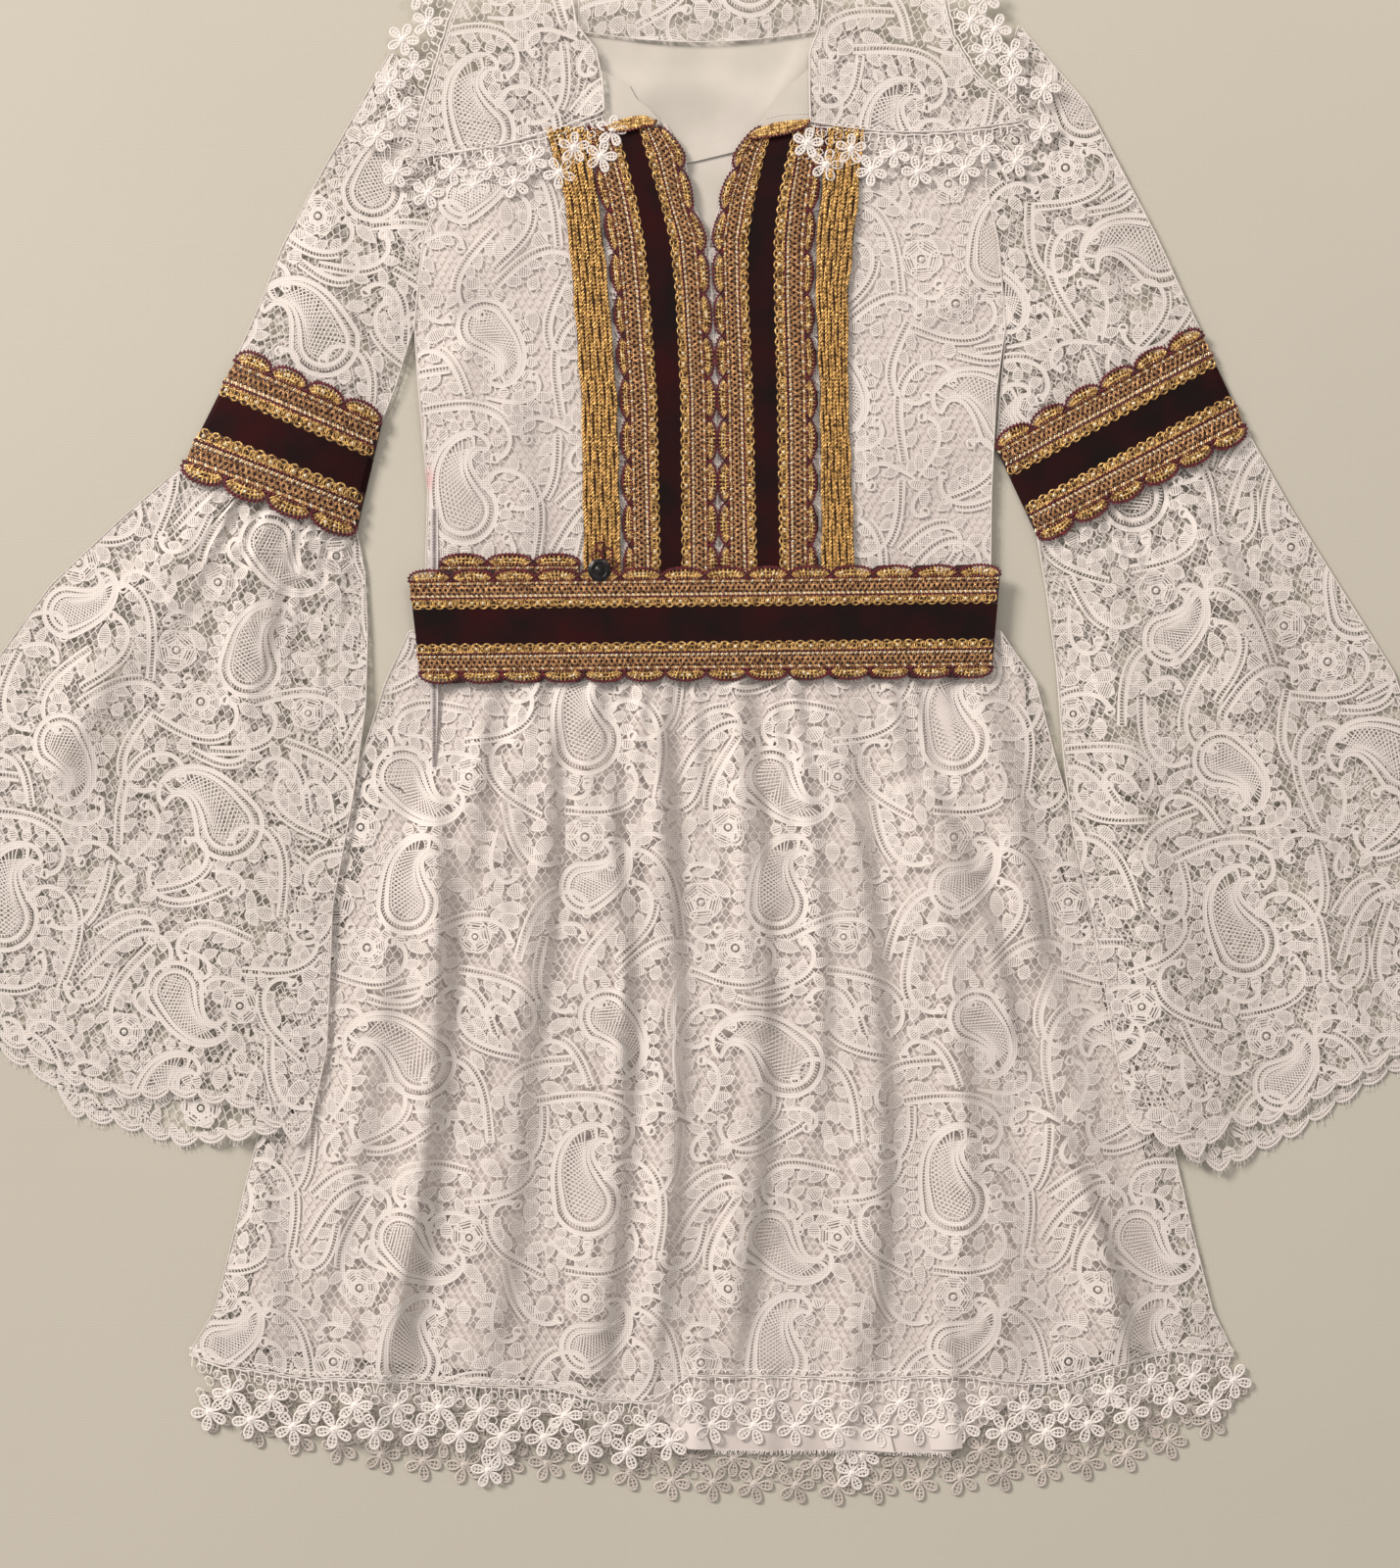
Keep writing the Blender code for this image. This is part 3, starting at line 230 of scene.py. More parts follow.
# Gold wires whose tone runs from dark to near-white in small patches: the gold's own colour with painted glints.
GOLD_WIRE = Finish("gold_wire", Mottle((0.15, 0.058, 0.014), (1.0, 0.67, 0.25), 0.0026), "gold_braid",
                   0.3, 0.55, 1500.0, 0.6)
LATTICE_WIRE = Finish("lattice_wire", Mottle((0.10, 0.03, 0.012), (0.98, 0.60, 0.29), 0.0024), "gold_braid",
                      0.32, 0.55, 1500.0, 0.6)
# Near-white thread: painted glints on the braids' domes, and the silver stitches of the lattice.
GLINT_WIRE = Finish("glint_wire", Mottle((0.90, 0.72, 0.40), (1.0, 0.97, 0.84), 0.003), "gold_braid",
                    0.25, 0.2, 1500.0, 0.6)
# Gold cord, dark to near-white in fine speckles: the gold's own colour with painted glints.
GOLD_CORD = Finish("gold_cord", Mottle((0.06, 0.024, 0.004), (0.95, 0.58, 0.19), 0.0017), "gold_cord",
                   0.34, 0.5, 700.0, 0.8, weave_turn=0.9)
# Dark gold-brown under the plaited strands: painted shade in the gaps between them.
CORD_GAP_SHADE = Finish("cord_gap_shade", Mottle((0.025, 0.010, 0.003), (0.06, 0.025, 0.007), 0.004), "gold_cord",
                     0.7, 0.0, 900.0, 0.5)
BURGUNDY_CORD = Finish("burgundy_cord", Mottle((0.045, 0.002, 0.006), (0.17, 0.010, 0.022), 0.003),
                       "gold_braid", 0.6, 0.0, 1700.0, 0.5)
ZIP_TAPE = Finish("zip_tape", Mottle((0.66, 0.62, 0.62), (0.74, 0.70, 0.69), 0.01), "zip_tape", 0.5,
                  0.0, 1400.0, 0.3)
ZIP_COIL = Finish("zip_coil", Mottle((0.20, 0.18, 0.18), (0.34, 0.31, 0.31), 0.004), "zip_tape", 0.45)
STUD_PAINT = Finish("stud_paint", Mottle((0.004, 0.004, 0.005), (0.02, 0.018, 0.02), 0.003),
                    "press_stud", 0.3, 0.3, 500.0, 0.05)


class Nodes:
    """Short calls that add and join shader nodes in one tree."""

    def __init__(self, tree: bpy.types.NodeTree) -> None:
        """Keep the tree that the nodes go into."""
        self.tree = tree

    def add(self, kind: str, inputs: dict[str | int, object] | None = None, **values: object) -> bpy.types.Node:
        """Add a node.

        Args:
            kind: Blender's name of the node type.
            inputs: Values of its inputs, by name or number.
            values: Attributes of the node, such as its operation.

        Returns:
            The new node.
        """
        node = self.tree.nodes.new(kind)
        for key, value in values.items():
            setattr(node, key, value)
        self.preset(node, inputs or {})
        return node

    @staticmethod
    def preset(node: bpy.types.Node, inputs: dict[str | int, object]) -> None:
        """Set the values of a node's inputs, by name or number."""
        for key, value in inputs.items():
            node.inputs[key].default_value = value

    def join(self, source: bpy.types.Node, output: str, target: bpy.types.Node, into: str | int) -> None:
        """Link an output of one node to an input of another."""
        self.tree.links.new(source.outputs[output], target.inputs[into])

    def sockets(self, ins: dict[str, str], outs: dict[str, str]) -> None:
        """Name the inputs and outputs of a group.

        Args:
            ins: Kind of each input, such as Color.
            outs: Kind of each output.
        """
        for direction, rows in (("INPUT", ins), ("OUTPUT", outs)):
            for name, kind in rows.items():
                self.tree.interface.new_socket(name=name, in_out=direction, socket_type="NodeSocket" + kind)


def shared_group(name: str, fill: Callable[[Nodes], None]) -> bpy.types.NodeTree:
    """A node group that is built at its first use.

    Args:
        name: Its name.
        fill: Adds its nodes.

    Returns:
        The node group.
    """
    group = bpy.data.node_groups.get(name)
    if not group:
        group = bpy.data.node_groups.new(name, "ShaderNodeTree")
        fill(Nodes(group))
    return group


def mottle_nodes(nodes: Nodes) -> None:
    """Mix two tones in soft patches."""
    nodes.sockets({"Tone": "Color", "Other": "Color", "Scale": "Float"}, {"Color": "Color"})
    given = nodes.add("NodeGroupInput")
    out = nodes.add("NodeGroupOutput")
    place = nodes.add("ShaderNodeTexCoord")
    noise = nodes.add("ShaderNodeTexNoise", {"Detail": 4.0})
    ramp = nodes.add("ShaderNodeValToRGB")
    for element, position in zip(ramp.color_ramp.elements, MOTTLE_BAND):
        element.position = position
    blend = nodes.add("ShaderNodeMix", data_type="RGBA")
    nodes.join(place, "Object", noise, "Vector")
    nodes.join(given, "Scale", noise, "Scale")
    nodes.join(noise, "Fac", ramp, "Fac")
    nodes.join(ramp, "Color", blend, "Factor")
    nodes.join(given, "Tone", blend, "A")
    nodes.join(given, "Other", blend, "B")
    nodes.join(blend, "Result", out, "Color")


def grain_nodes(nodes: Nodes) -> None:
    """Height of crossing threads with some slubs."""
    nodes.sockets({"Threads per metre": "Float", "Turn": "Float"}, {"Height": "Float"})
    given = nodes.add("NodeGroupInput")
    out = nodes.add("NodeGroupOutput")
    place = nodes.add("ShaderNodeTexCoord")
    turn = nodes.add("ShaderNodeVectorRotate", rotation_type="Z_AXIS")
    warp, weft = (nodes.add("ShaderNodeTexWave", {"Distortion": 1.2}, wave_type="BANDS", bands_direction=axis)
                  for axis in "XY")
    scale = nodes.add("ShaderNodeMath", {1: WAVES_PER_THREAD}, operation="MULTIPLY")
    slub = nodes.add("ShaderNodeTexNoise")
    both = nodes.add("ShaderNodeMath", operation="MAXIMUM")
    rough = nodes.add("ShaderNodeMath", {1: SLUB_SHARE}, operation="MULTIPLY_ADD")
    nodes.join(place, "Object", turn, "Vector")
    nodes.join(given, "Turn", turn, "Angle")
    nodes.join(given, "Threads per metre", scale, 0)
    for number, wave in enumerate((warp, weft)):
        nodes.join(turn, "Vector", wave, "Vector")
        nodes.join(scale, "Value", wave, "Scale")
        nodes.join(wave, "Fac", both, number)
    nodes.join(place, "Object", slub, "Vector")
    nodes.join(given, "Threads per metre", slub, "Scale")
    nodes.join(slub, "Fac", rough, 0)
    nodes.join(both, "Value", rough, 2)
    nodes.join(rough, "Value", out, "Height")


def stain_nodes(nodes: Nodes) -> None:
    """Tint a cloth softly round one place."""
    nodes.sockets({"Color": "Color", "Tint": "Color", "Place": "Vector", "Radius": "Float"}, {"Color": "Color"})
    given = nodes.add("NodeGroupInput")
    out = nodes.add("NodeGroupOutput")
    place = nodes.add("ShaderNodeTexCoord")
    apart = nodes.add("ShaderNodeVectorMath", operation="SUBTRACT")
    flat = nodes.add("ShaderNodeVectorMath", {1: STAIN_SHAPE}, operation="MULTIPLY")
    far = nodes.add("ShaderNodeVectorMath", operation="LENGTH")
    fade = nodes.add("ShaderNodeMapRange", {"To Min": STAIN_DEPTH, "To Max": 0.0}, interpolation_type="SMOOTHSTEP")
    blend = nodes.add("ShaderNodeMix", data_type="RGBA")
    nodes.join(place, "Object", apart, 0)
    nodes.join(given, "Place", apart, 1)
    nodes.join(apart, "Vector", flat, 0)
    nodes.join(flat, "Vector", far, 0)
    nodes.join(far, "Value", fade, "Value")
    nodes.join(given, "Radius", fade, "From Max")
    nodes.join(fade, "Result", blend, "Factor")
    nodes.join(given, "Color", blend, "A")
    nodes.join(given, "Tint", blend, "B")
    nodes.join(blend, "Result", out, "Color")


def material_of(finish: Finish) -> bpy.types.Material:
    """The material of a finish, built once from the shared groups.

    Args:
        finish: Its tones, grain and gloss.

    Returns:
        The material.
    """
    name = "dress_" + finish.name
    material = bpy.data.materials.get(name)
    if material:
        return material
    material = bpy.data.materials.new(name)
    material.use_nodes = True
    nodes = Nodes(material.node_tree)
    shader = material.node_tree.nodes["Principled BSDF"]
    nodes.preset(shader, {"Roughness": finish.roughness, "Metallic": finish.metallic, "Sheen Weight": finish.sheen,
                          "Specular IOR Level": finish.specular, "Sheen Tint": (*finish.sheen_tint, 1.0)})
    colour = nodes.add("ShaderNodeGroup", node_tree=shared_group("cloth_mottle", mottle_nodes))
    nodes.preset(colour, {"Tone": (*finish.mottle.tone, 1.0), "Other": (*finish.mottle.other, 1.0),
                          "Scale": 1.0 / finish.mottle.patch_m})
    grain = nodes.add("ShaderNodeGroup", node_tree=shared_group("thread_grain", grain_nodes))
    nodes.preset(grain, {"Threads per metre": finish.grain_per_m, "Turn": finish.weave_turn})
    bump = nodes.add("ShaderNodeBump", {"Strength": finish.grain_height, "Distance": THREAD_HEIGHT_M})
    if finish.stain:
        place, radius, tint = finish.stain
        stain = nodes.add("ShaderNodeGroup", node_tree=shared_group("soft_stain", stain_nodes))
        nodes.preset(stain, {"Place": place, "Radius": radius, "Tint": (*tint, 1.0)})
        nodes.join(colour, "Color", stain, "Color")
        colour = stain
    nodes.join(colour, "Color", shader, "Base Color")
    nodes.join(grain, "Height", bump, "Height")
    nodes.join(bump, "Normal", shader, "Normal")
    return material


# ---------------------------------------------------------------- lines

def unit(degrees: float) -> np.ndarray:
    """The way of length 1 at an angle from x."""
    a = math.radians(degrees)
    return np.array([math.cos(a), math.sin(a)])


def turning(degrees: float) -> np.ndarray:
    """The matrix that turns rows of points anticlockwise."""
    c, s = unit(degrees)
    return np.array([[c, s], [-s, c]])


def ring_line(centre: Point, radius: float, sides: int = 12) -> np.ndarray:
    """Points of a circle."""
    angle = np.arange(sides) * 2.0 * math.pi / sides
    return np.array(centre) + radius * np.stack([np.cos(angle), np.sin(angle)], axis=1)


def turned(points: np.ndarray, degrees: float, centre: Point, flip: bool = False) -> np.ndarray:
    """Turn points drawn about the origin and move them to a centre.

    Args:
        points: Points, n x 2.
        degrees: Turn, anticlockwise.
        centre: Where the origin goes.
        flip: True to mirror them first.

    Returns:
        The moved points.
    """
    points = points * np.array([-1.0, 1.0]) if flip else points
    return points @ turning(degrees) + np.array(centre)


def normals_of(line: np.ndarray, closed: bool = False) -> np.ndarray:
    """The way across a line to its left, of length 1, at each point.

    Args:
        line: Points, n x 2.
        closed: True for a ring.

    Returns:
        The ways, n x 2.
    """
    way = np.roll(line, -1, axis=0) - np.roll(line, 1, axis=0) if closed else np.gradient(line, axis=0)
    return np.stack([-way[:, 1], way[:, 0]], axis=1) / np.maximum(np.linalg.norm(way, axis=1), TINY)[:, None]


def runs_of(line: np.ndarray) -> np.ndarray:
    """Length of a line up to each of its points."""
    return np.concatenate([[0.0], np.cumsum(np.linalg.norm(np.diff(line, axis=0), axis=1))])


def at_runs(line: np.ndarray, marks: np.ndarray, runs: np.ndarray) -> np.ndarray:
    """Places on a line.

    Args:
        line: Points, n x 2.
        marks: The run that belongs to each point.
        runs: The runs that are asked for, m.

    Returns:
        The places, m x 2.
    """
    return np.stack([np.interp(runs, marks, line[:, k]) for k in (0, 1)], axis=1)


def evenly(line: np.ndarray, number: int) -> np.ndarray:
    """A number of evenly spread points on a line."""
    marks = runs_of(line)
    return at_runs(line, marks, np.linspace(0.0, marks[-1], number))


def spaced(line: np.ndarray, step: float) -> np.ndarray:
    """Resample a line at an even step.

    Args:
        line: Points, n x 2.
        step: Distance between the new points.

    Returns:
        The new points.
    """
    return evenly(line, max(int(round(runs_of(line)[-1] / step)), 2) + 1)


def spaced_loop(outline: np.ndarray, step: float) -> np.ndarray:
    """Resample a closed outline at an even step.

    Args:
        outline: Corners, n x 2.
        step: Distance between the new points.

    Returns:
        The new corners.
    """
    return spaced(np.concatenate([outline, outline[:1]]), step)[:-1]


# ---------------------------------------------------------------- surfaces

def inside(outline: np.ndarray, points: np.ndarray) -> np.ndarray:
    """Test which points lie in a closed outline.

    Args:
        outline: Corners of the outline, n x 2.
        points: Points to test, m x 2.

    Returns:
        One truth value for each point.
    """
    found = np.zeros(len(points), bool)
    px, py = points[:, 0], points[:, 1]
    for (x0, y0), (x1, y1) in zip(outline, np.roll(outline, -1, axis=0)):
        if y0 == y1:
            continue
        crosses = (py >= min(y0, y1)) & (py < max(y0, y1))
        found ^= crosses & (px < x0 + (py - y0) * (x1 - x0) / (y1 - y0))
    return found


def nearest_on(outline: np.ndarray, points: np.ndarray) -> np.ndarray:
    """Move points to the nearest place on a closed outline.

    Args:
        outline: Corners of the outline, n x 2.
        points: Points to move, m x 2.

    Returns:
        The moved points, m x 2.
    """
    best = np.full(len(points), np.inf)
    moved = points.copy()
    for a, b in zip(outline, np.roll(outline, -1, axis=0)):
        way = b - a
        length = float(way @ way)
        if length < 1e-9:
            continue
        share = np.clip((points - a) @ way / length, 0.0, 1.0)
        place = a + share[:, None] * way
        gap = np.sum((points - place) ** 2, axis=1)
        closer = gap < best
        best[closer] = gap[closer]
        moved[closer] = place[closer]
    return moved


@dataclass(frozen=True)
class Crease:
    """A soft trough (height below 0) or ridge in a panel, from one point to another."""

    start: Point
    end: Point
    width: float
    height: float
    far_side: float = 2.6

    def rise(self, points: np.ndarray) -> np.ndarray:
        """Height that the crease adds at each point; its far side is the gentler one.

        Args:
            points: Places on the panel, n x 2.

        Returns:
            The height at each place.
        """
        a, b = np.array(self.start), np.array(self.end)
        length = float(np.linalg.norm(b - a))
        way = (b - a) / length
        run = (points - a) @ way
        off = (points - a) @ np.array([-way[1], way[0]])
        bend = 0.04 * length * np.sin(np.pi * np.clip(run / length, 0.0, 1.0))
        ends = np.clip(np.minimum(run, length - run) / (0.3 * length) + 0.25, 0.0, 1.0)
        wide = np.where(off > bend, self.width, self.width * self.far_side)
        return self.height * ends * np.exp(-((off - bend) / wide) ** 2)


def creases_of(*rows: Sequence[float]) -> tuple[Crease, ...]:
    """Creases from rows of numbers.

    Args:
        rows: For each crease start x and y, end x and y, width, height and, where it isn't the usual one,
            the factor of its far side.

    Returns:
        The creases.
    """
    return tuple(Crease(row[:2], row[2:4], *row[4:]) for row in rows)


@dataclass(frozen=True)
class Gathers:
    """Fine folds that fan out from a gathered seam and fade away below it."""

    apex: Point
    near: float
    reach: float
    first: float
    last: float
    count: int
    height: float
    seed: int = 1

    def rise(self, points: np.ndarray) -> np.ndarray:
        """Height that the gathers add at each point.

        Args:
            points: Places on the panel, n x 2.

        Returns:
            The height at each place.
        """
        away = points - np.array(self.apex)
        far = np.hypot(away[:, 0], away[:, 1])
        angle = np.degrees(np.arctan2(away[:, 1], away[:, 0])) % 360.0
        share = (angle - self.first) / (self.last - self.first)
        chance = random.Random(self.seed)
        fade = np.exp(-np.clip(far - self.near, 0.0, None) / self.reach)
        total = np.zeros(len(points))
        for i in range(self.count):
            middle = (i + 0.5 + chance.uniform(-0.3, 0.3)) / self.count
            wide = chance.uniform(0.22, 0.42) / self.count
            long = chance.uniform(0.5, 1.6)
            total += chance.uniform(0.5, 1.0) * fade ** (1.0 / long) * np.exp(-((share - middle) / wide) ** 2)
        return self.height * (total - 0.3)


class Surface:
    """The top of a CAD solid as a smooth height over the plane, with its outline."""

    STEP = 4.0
    TOP_SLOPE = 0.15
    RAY_START = 100.0
    FILL_ROUNDS = 60
    SOFT_ROUNDS = 2
    DEEPEST = 0.8

    def __init__(self, node: bpy.types.Object, folds: Sequence[Crease | Gathers] = ()) -> None:
        """Read the solid's top faces.

        Args:
            node: The CAD node.
            folds: Creases and gathers that the cloth has on top of the solid's form.
        """
        self.folds = list(folds)
        mesh = node.data
        mesh.calc_loop_triangles()
        count = len(mesh.vertices)
        points = np.empty(count * 3)
        mesh.vertices.foreach_get("co", points)
        points = points.reshape(-1, 3) / MM
        faces = np.empty(len(mesh.loop_triangles) * 3, int)
        mesh.loop_triangles.foreach_get("vertices", faces)
        faces = faces.reshape(-1, 3)
        normals = np.cross(points[faces[:, 1]] - points[faces[:, 0]], points[faces[:, 2]] - points[faces[:, 0]])
        length = np.linalg.norm(normals, axis=1)
        top = faces[normals[:, 2] > self.TOP_SLOPE * length]
        self.outline = self._loop(points, top)
        self._heights(points, top)

    @staticmethod
    def _loop(points: np.ndarray, top: np.ndarray) -> np.ndarray:
        """Chain the edges that only one top face has.

        Args:
            points: Vertices of the solid.
            top: Its top faces.

        Returns:
            Corners of the longest loop, n x 2.
        """
        keys = {}
        weld = [keys.setdefault(tuple(np.round(p[:2], 2)), i) for i, p in enumerate(points)]
        edges = {}
        for face in top:
            a, b, c = (weld[i] for i in face)
            for start, end in ((a, b), (b, c), (c, a)):
                if edges.pop((end, start), None) is None:
                    edges[(start, end)] = True
        follow = dict(edges.keys())
        loops = []
        while follow:
            start = next(iter(follow))
            loop = [start]
            while loop[-1] in follow:
                step = follow.pop(loop[-1])
                if step == start:
                    break
                loop.append(step)
            loops.append(loop)
        longest = max(loops, key=lambda loop: np.ptp(points[loop][:, 0]) + np.ptp(points[loop][:, 1]))
        return points[longest][:, :2]

    def _heights(self, points: np.ndarray, top: np.ndarray) -> None:
        """Sample the top faces on a grid and soften their facets.

        Args:
            points: Vertices of the solid.
            top: Its top faces.
        """
        tree = BVHTree.FromPolygons(points.tolist(), top.tolist())
        self.low = points[:, :2].min(0) - self.STEP
        size = points[:, :2].max(0) + self.STEP - self.low
        nx, ny = (int(math.ceil(s / self.STEP)) + 1 for s in size)
        grid = np.full((ny, nx), np.nan)
        for j in range(ny):
            for i in range(nx):
                x, y = self.low[0] + i * self.STEP, self.low[1] + j * self.STEP
                hit = tree.ray_cast(Vector((x, y, self.RAY_START)), Vector((0.0, 0.0, -1.0)))
                if hit[0] is not None:
                    grid[j, i] = hit[0].z
        for _ in range(self.FILL_ROUNDS):
            empty = np.isnan(grid)
            if not empty.any():
                break
            around = self._around(grid)
            known = ~np.isnan(around)
            total = np.where(known, around, 0.0).sum(0)
            number = known.sum(0)
            fill = empty & (number > 0)
            grid[fill] = total[fill] / number[fill]
        grid[np.isnan(grid)] = np.nanmean(grid)
        for _ in range(self.SOFT_ROUNDS):
            grid = 0.4 * grid + 0.15 * self._around(grid)[:4].sum(0)
        self.grid = grid

    @staticmethod
    def _around(grid: np.ndarray) -> np.ndarray:
        """The eight neighbours of each cell of a grid."""
        wide = np.pad(grid, 1, mode="edge")
        ny, nx = grid.shape
        steps = ((0, 1), (2, 1), (1, 0), (1, 2), (0, 0), (0, 2), (2, 0), (2, 2))
        return np.stack([wide[j:j + ny, i:i + nx] for j, i in steps])

    def height(self, points: np.ndarray) -> np.ndarray:
        """Height of the cloth's top at each point.

        Args:
            points: Places in the plane, n x 2.

        Returns:
            The height at each place.
        """
        place = (points[:, :2] - self.low) / self.STEP
        ny, nx = self.grid.shape
        i = np.clip(place[:, 0].astype(int), 0, nx - 2)
        j = np.clip(place[:, 1].astype(int), 0, ny - 2)
        u, v = np.clip(place[:, 0] - i, 0.0, 1.0), np.clip(place[:, 1] - j, 0.0, 1.0)
        g = self.grid
        height = (g[j, i] * (1 - u) * (1 - v) + g[j, i + 1] * u * (1 - v)
                  + g[j + 1, i] * (1 - u) * v + g[j + 1, i + 1] * u * v)
        if self.folds:
            rise = sum(fold.rise(points[:, :2]) for fold in self.folds)
            height = height + np.where(rise < 0.0, self.DEEPEST * np.tanh(rise / self.DEEPEST), rise)
        return height


# ---------------------------------------------------------------- threadwork

class Section(Enum):
    """Cross-sections of a thread, cord or tape: offsets across and lifts."""

    THREAD = ((-0.5, 0.5), (0.0, 0.0))
    CORD = ((-0.5, 0.0, 0.5), (0.0, 1.0, 0.0))
    ROUND = ((-0.5, -0.25, 0.25, 0.5), (0.0, 1.0, 1.0, 0.0))
    TAPE = ((-0.5, -0.37, 0.37, 0.5), (1.0, 0.5, 0.5, 1.0))


class Threadwork:
    """Threads, cords and tapes in a flat plane, kept as quads of (x, y, lift) points."""

    TURN_PITCH = 2.3
    DOME_RINGS = ((1.0, 0.0), (0.72, 0.7), (0.12, 1.0))

    def __init__(self, plain: bool = False) -> None:
        """Start with nothing.

        Args:
            plain: True to lay every thread flat, for lace that lies under other lace.
        """
        self.plain = plain
        self.points: list[np.ndarray] = []
        self.quads: list[np.ndarray] = []
        self.count = 0

    def add(self, points: np.ndarray, quads: np.ndarray) -> None:
        """Add points and the quads between them."""
        self.points.append(points)
        self.quads.append(quads + self.count)
        self.count += len(points)

    def strip(self, line: np.ndarray, width: float | np.ndarray, section: Section = Section.CORD,
              rise: float = 0.4, closed: bool = False, base: float = 0.0) -> None:
        """Lay a thread, cord or tape along a line.

        Args:
            line: Points of its middle, n x 2.
            width: Its width, or the width at each point.
            section: Its cross-section.
            rise: Height of its raised parts.
            closed: True for a ring.
            base: Height of its underside.
        """
        line = np.asarray(line, float)
        across = normals_of(line, closed)
        offsets, lifts = (np.array(v) for v in (Section.THREAD if self.plain else section).value)
        wide = np.broadcast_to(np.asarray(width, float), (len(line),))
        flat = line[:, None, :] + across[:, None, :] * (wide[:, None] * offsets[None, :])[:, :, None]
        high = np.broadcast_to(base + rise * lifts, (len(line), len(offsets)))
        points = np.concatenate([flat, high[:, :, None]], axis=2).reshape(-1, 3)
        n, m = len(line), len(offsets)
        rows = np.arange(n if closed else n - 1)
        a = (rows[:, None] * m + np.arange(m - 1)[None, :]).ravel()
        b = (((rows + 1) % n)[:, None] * m + np.arange(m - 1)[None, :]).ravel()
        self.add(points, np.stack([a, b, b + 1, a + 1], axis=1))

    def rungs(self, first: np.ndarray, second: np.ndarray, width: float = 0.5, lift: float = 0.1) -> None:
        """Lay a straight thread from each point of one line to its fellow on another.

        Args:
            first: Start of each thread, n x 2.
            second: End of each thread, n x 2.
            width: Width of the threads.
            lift: Their height.
        """
        way = second - first
        length = np.maximum(np.linalg.norm(way, axis=1), TINY)
        side = 0.5 * width * np.stack([-way[:, 1], way[:, 0]], axis=1) / length[:, None]
        corners = np.stack([first - side, second - side, second + side, first + side], axis=1)
        points = np.concatenate([corners, np.full((len(first), 4, 1), lift)], axis=2).reshape(-1, 3)
        self.add(points, np.arange(4 * len(first)).reshape(-1, 4))

    def rope(self, line: np.ndarray, width: float) -> None:
        """Lay a twisted cord: a core with slanted turns over it.

        Args:
            line: Its middle.
            width: Its width.
        """
        line = spaced(line, self.TURN_PITCH)
        across = normals_of(line)
        way = np.stack([across[:, 1], -across[:, 0]], axis=1)
        self.strip(line, 0.55 * width, Section.CORD, 0.4, base=0.2)
        for place, ahead, side in zip(line, way, across):
            slant = 0.5 * width * side + 0.7 * ahead
            self.strip(np.array([place - slant, place, place + slant]), 1.2, Section.CORD, 0.8, base=0.45)

    def dome(self, centre: Point, radius: float, height: float, sides: int = 8, base: float = 0.0) -> None:
        """Add a small round bead or padded centre.

        Args:
            centre: Its middle.
            radius: Its radius.
            height: Its height above base.
            sides: Number of sides.
            base: Height of its underside.
        """
        angle = np.arange(sides) * 2.0 * math.pi / sides
        ring = np.stack([np.cos(angle), np.sin(angle)], axis=1)
        parts = []
        for share, lift in self.DOME_RINGS:
            flat = np.array(centre) + radius * share * ring
            parts.append(np.concatenate([flat, np.full((sides, 1), base + lift * height)], axis=1))
        a = np.arange(sides)
        b = (a + 1) % sides
        quads = np.concatenate([np.stack([a + r, b + r, b + r + sides, a + r + sides], axis=1)
                                for r in (0, sides)])
        self.add(np.concatenate(parts), quads)

    def merged(self) -> tuple[np.ndarray, np.ndarray]:
        """All points and all quads as two arrays."""
        return np.concatenate(self.points), np.concatenate(self.quads)


def cut(points: np.ndarray, quads: np.ndarray, outline: np.ndarray) -> tuple[np.ndarray, np.ndarray]:
    """Cut threadwork to an outline, with its last points brought onto the edge.

    Args:
        points: Points of the threadwork, n x 3.
        quads: Its quads.
        outline: Corners of the outline.

    Returns:
        The points and quads that are left.
    """
    centres = points[quads][:, :, :2].mean(1)
    quads = quads[inside(outline, centres)]
    used, quads = np.unique(quads, return_inverse=True)
    points, quads = points[used].copy(), quads.reshape(-1, 4)
    out = ~inside(outline, points[:, :2])
    points[out, :2] = nearest_on(outline, points[out, :2])
    return points, quads


def eyelash_scallops(work: Threadwork, hem: np.ndarray) -> None:
    """Round scallops with a corded edge and loose eyelash threads along a bell's hem.

    Args:
        work: The threadwork that they go into.
        hem: The hem line, left to right.
    """
    chance = random.Random(len(hem))
    marks = np.linspace(hem[0, 0], hem[-1, 0], BELL_SCALLOPS + 1)
    for left, right in zip(marks[:-1], marks[1:]):
        t = np.linspace(0.0, 1.0, 13)
        x = left + (right - left) * t
        y = np.interp(x, hem[:, 0], hem[:, 1])
        chord = np.stack([x, y + SCALLOP_START], axis=1)
        arch = np.stack([x, y - SCALLOP_DEPTH * np.sin(math.pi * t) ** 0.55], axis=1)
        work.strip(arch, 1.7, Section.CORD, 0.5)
        work.strip(0.45 * chord + 0.55 * arch, 1.1, Section.CORD, 0.4)
        work.rungs(chord[1:-1], arch[1:-1], 0.8, 0.1)
        for foot in arch[2:-2]:
            if chance.random() < LASH_CHANCE:
                tip = foot + [chance.uniform(-LASH_LEAN, LASH_LEAN), -chance.uniform(LASH_SHORTEST, LASH_LONGEST)]
                work.rungs(foot[None, :], np.array([tip]), 0.4, 0.1)


# ---------------------------------------------------------------- the lace

# Bend of a paisley's tip in degrees, radius of its round end as a share of its size, and the shares at which
# its inner rings and its heart lie
HOOK = 150.0
DROP_RADIUS = 0.34
PAISLEY_LADDERS = ((0.88, 0.77, 0.69), (0.61, 0.53, 0.0))
HEART_SHARE = 0.49
# How far a knot of the net may lie off its place
NET_JITTER = 0.42
